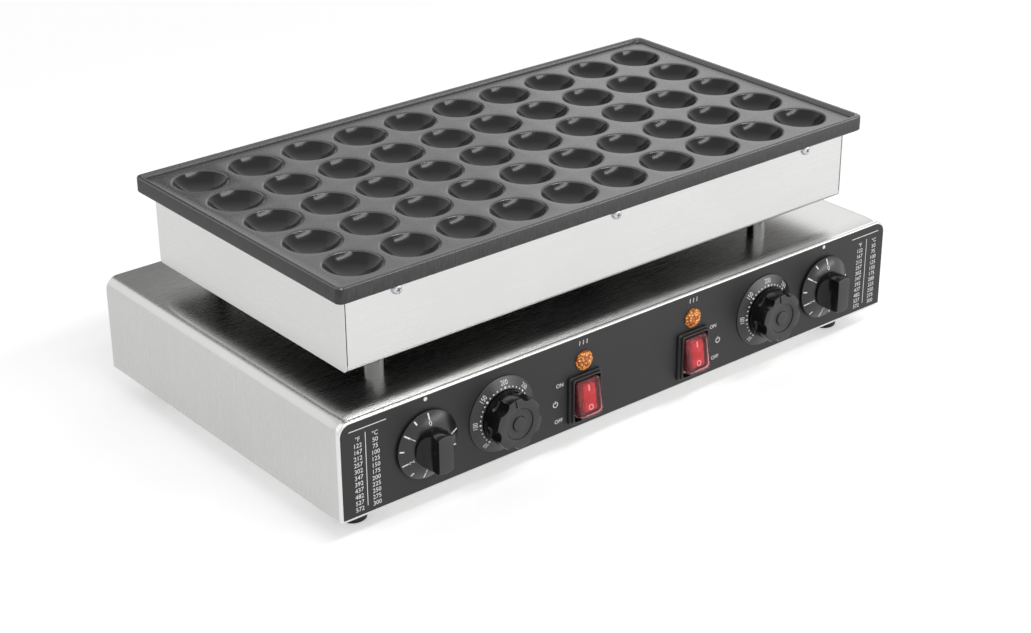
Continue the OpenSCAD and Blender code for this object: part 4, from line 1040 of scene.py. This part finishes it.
def makePrint(p):
    marks = []
    celsius = list(range(p["first"], p["last"] + 1, p["every"]))
    fahrenheit = [round(c * 9 / 5 + 32) for c in celsius]
    for side, s in sides:
        marks.append(dot(p["dotR"], s * p["dotX"], p["dotZ"]))
        low, high = p["ruleLow"], p["ruleHigh"]
        marks.append(bar(p["ruleW"], high - low, s * p["ruleX"], (high + low) / 2))
        marks.append(bar(p["headW"], p["headH"], s * p["headX"], p["headZ"]))
        for heading, values, x in zip(("°F", "°C"), (fahrenheit, celsius), columns[side]):
            marks.append(numberColumn(heading, values, x, p))
        for word, x, z in words[side]:
            marks.append(letters(word, p["word"], x, z))
        for k in (-1, 0, 1):
            marks.append(letters("~", p["wave"], s * p["waveX"] + p["waveStep"] * k, p["waveZ"], turn=90))
        marks += powerSign(*powerSigns[side], p)
    piece = tidyMesh(joinAll(marks, "panel_print"), 0)
    putAt(piece, (0, frontY - inkLift, 0), (90, 0, 0))
    settle(piece, "base", whiteInk, "black_film")


makePrint(printing)
print("print made")

# light, floor and background, in metres

studio = {"floor": "#f4f4f4", "floorSize": 12, "world": 0.5, "lift": (0.38, 0.58), "reach": (0.9, 3.0),
          "aim": (0, 0, 0.1), "card": {"tone": "#a8a8a8", "size": (1.3, 1.6), "place": (0.25, 1.9, 1.1)},
          "lamps": (("key", 20, (2.3, 0.28), (0.1, -1.34, 1.9)), ("side", 11, (2.0, 0.35), (1.6, -2.0, 0.4)),
                    ("far", 4, (2.4, 1.8), (-1.3, 1.7, 1.2)), ("right", 1.6, (1.2, 0.9), (2.1, 1.6, 1.2)))}


def whenSeen(tree):
    # 1 for what the camera sees, straight or in a mirror or through something clear
    ray = addNode(tree, "LightPath")
    seen = ray.outputs["Is Camera Ray"]
    for kind in ("Is Glossy Ray", "Is Transmission Ray"):
        either = addNode(tree, "Math", {"operation": "MAXIMUM"}, {0: seen, 1: ray.outputs[kind]})
        seen = either.outputs["Value"]
    return seen


def mattSheet(name, materialName, tone, **plane):
    # a plane of the studio, in one matt tone
    piece = added(name, bpy.ops.mesh.primitive_plane_add, **plane)
    material, tree, shader, at = newMaterial(materialName, Roughness=0.9, Specular_IOR_Level=0.1,
                                             Base_Color=hexColour(tone))
    piece.data.materials.append(material)
    return piece, tree, shader, at


def makeStudio(s):
    tree, shader, at = mattSheet("floor", "pale studio floor", s["floor"], size=s["floorSize"],
                                 location=(0, 0, 0))[1:]
    # the floor far from the lamps is lifted more, so that it meets the backdrop without a line
    away = addNode(tree, "VectorMath", {"operation": "LENGTH"}, {"Vector": at})
    spread = addNode(tree, "MapRange", {"From Min": s["reach"][0], "From Max": s["reach"][1],
                                        "To Min": s["lift"][0], "To Max": s["lift"][1]},
                     {"Value": away.outputs["Value"]})
    lift = addNode(tree, "Math", {"operation": "MULTIPLY"}, {0: whenSeen(tree), 1: spread.outputs["Result"]})
    shader.inputs["Emission Color"].default_value = (1, 1, 1, 1)
    tree.links.new(lift.outputs["Value"], shader.inputs["Emission Strength"])
    # a grey card behind the object, seen only in the metal and the coated plate
    card = mattSheet("grey_card", "matt grey card", s["card"]["tone"], size=1, location=s["card"]["place"],
                     rotation=(math.pi / 2, 0, 0))[0]
    card.scale = (*s["card"]["size"], 1)
    card.visible_camera = False
    world = bpy.data.worlds.new("white studio")
    bpy.context.scene.world = world
    world.use_nodes = True
    tree = world.node_tree
    back = tree.nodes["Background"]
    back.inputs["Color"].default_value = (1, 1, 1, 1)
    level = addNode(tree, "MapRange", {"To Min": s["world"], "To Max": 1.0}, {"Value": whenSeen(tree)})
    tree.links.new(level.outputs["Result"], back.inputs["Strength"])
    for name, power, (width, height), place in s["lamps"]:
        light = added(name, bpy.ops.object.light_add, type="AREA", location=place)
        light.data.shape = "RECTANGLE"
        light.data.size = width
        light.data.size_y = height
        light.data.energy = power
        light.rotation_euler = (Vector(s["aim"]) - Vector(place)).to_track_quat("-Z", "Y").to_euler()
    bpy.context.scene.view_settings.view_transform = "Standard"


makeStudio(studio)
print("studio made")
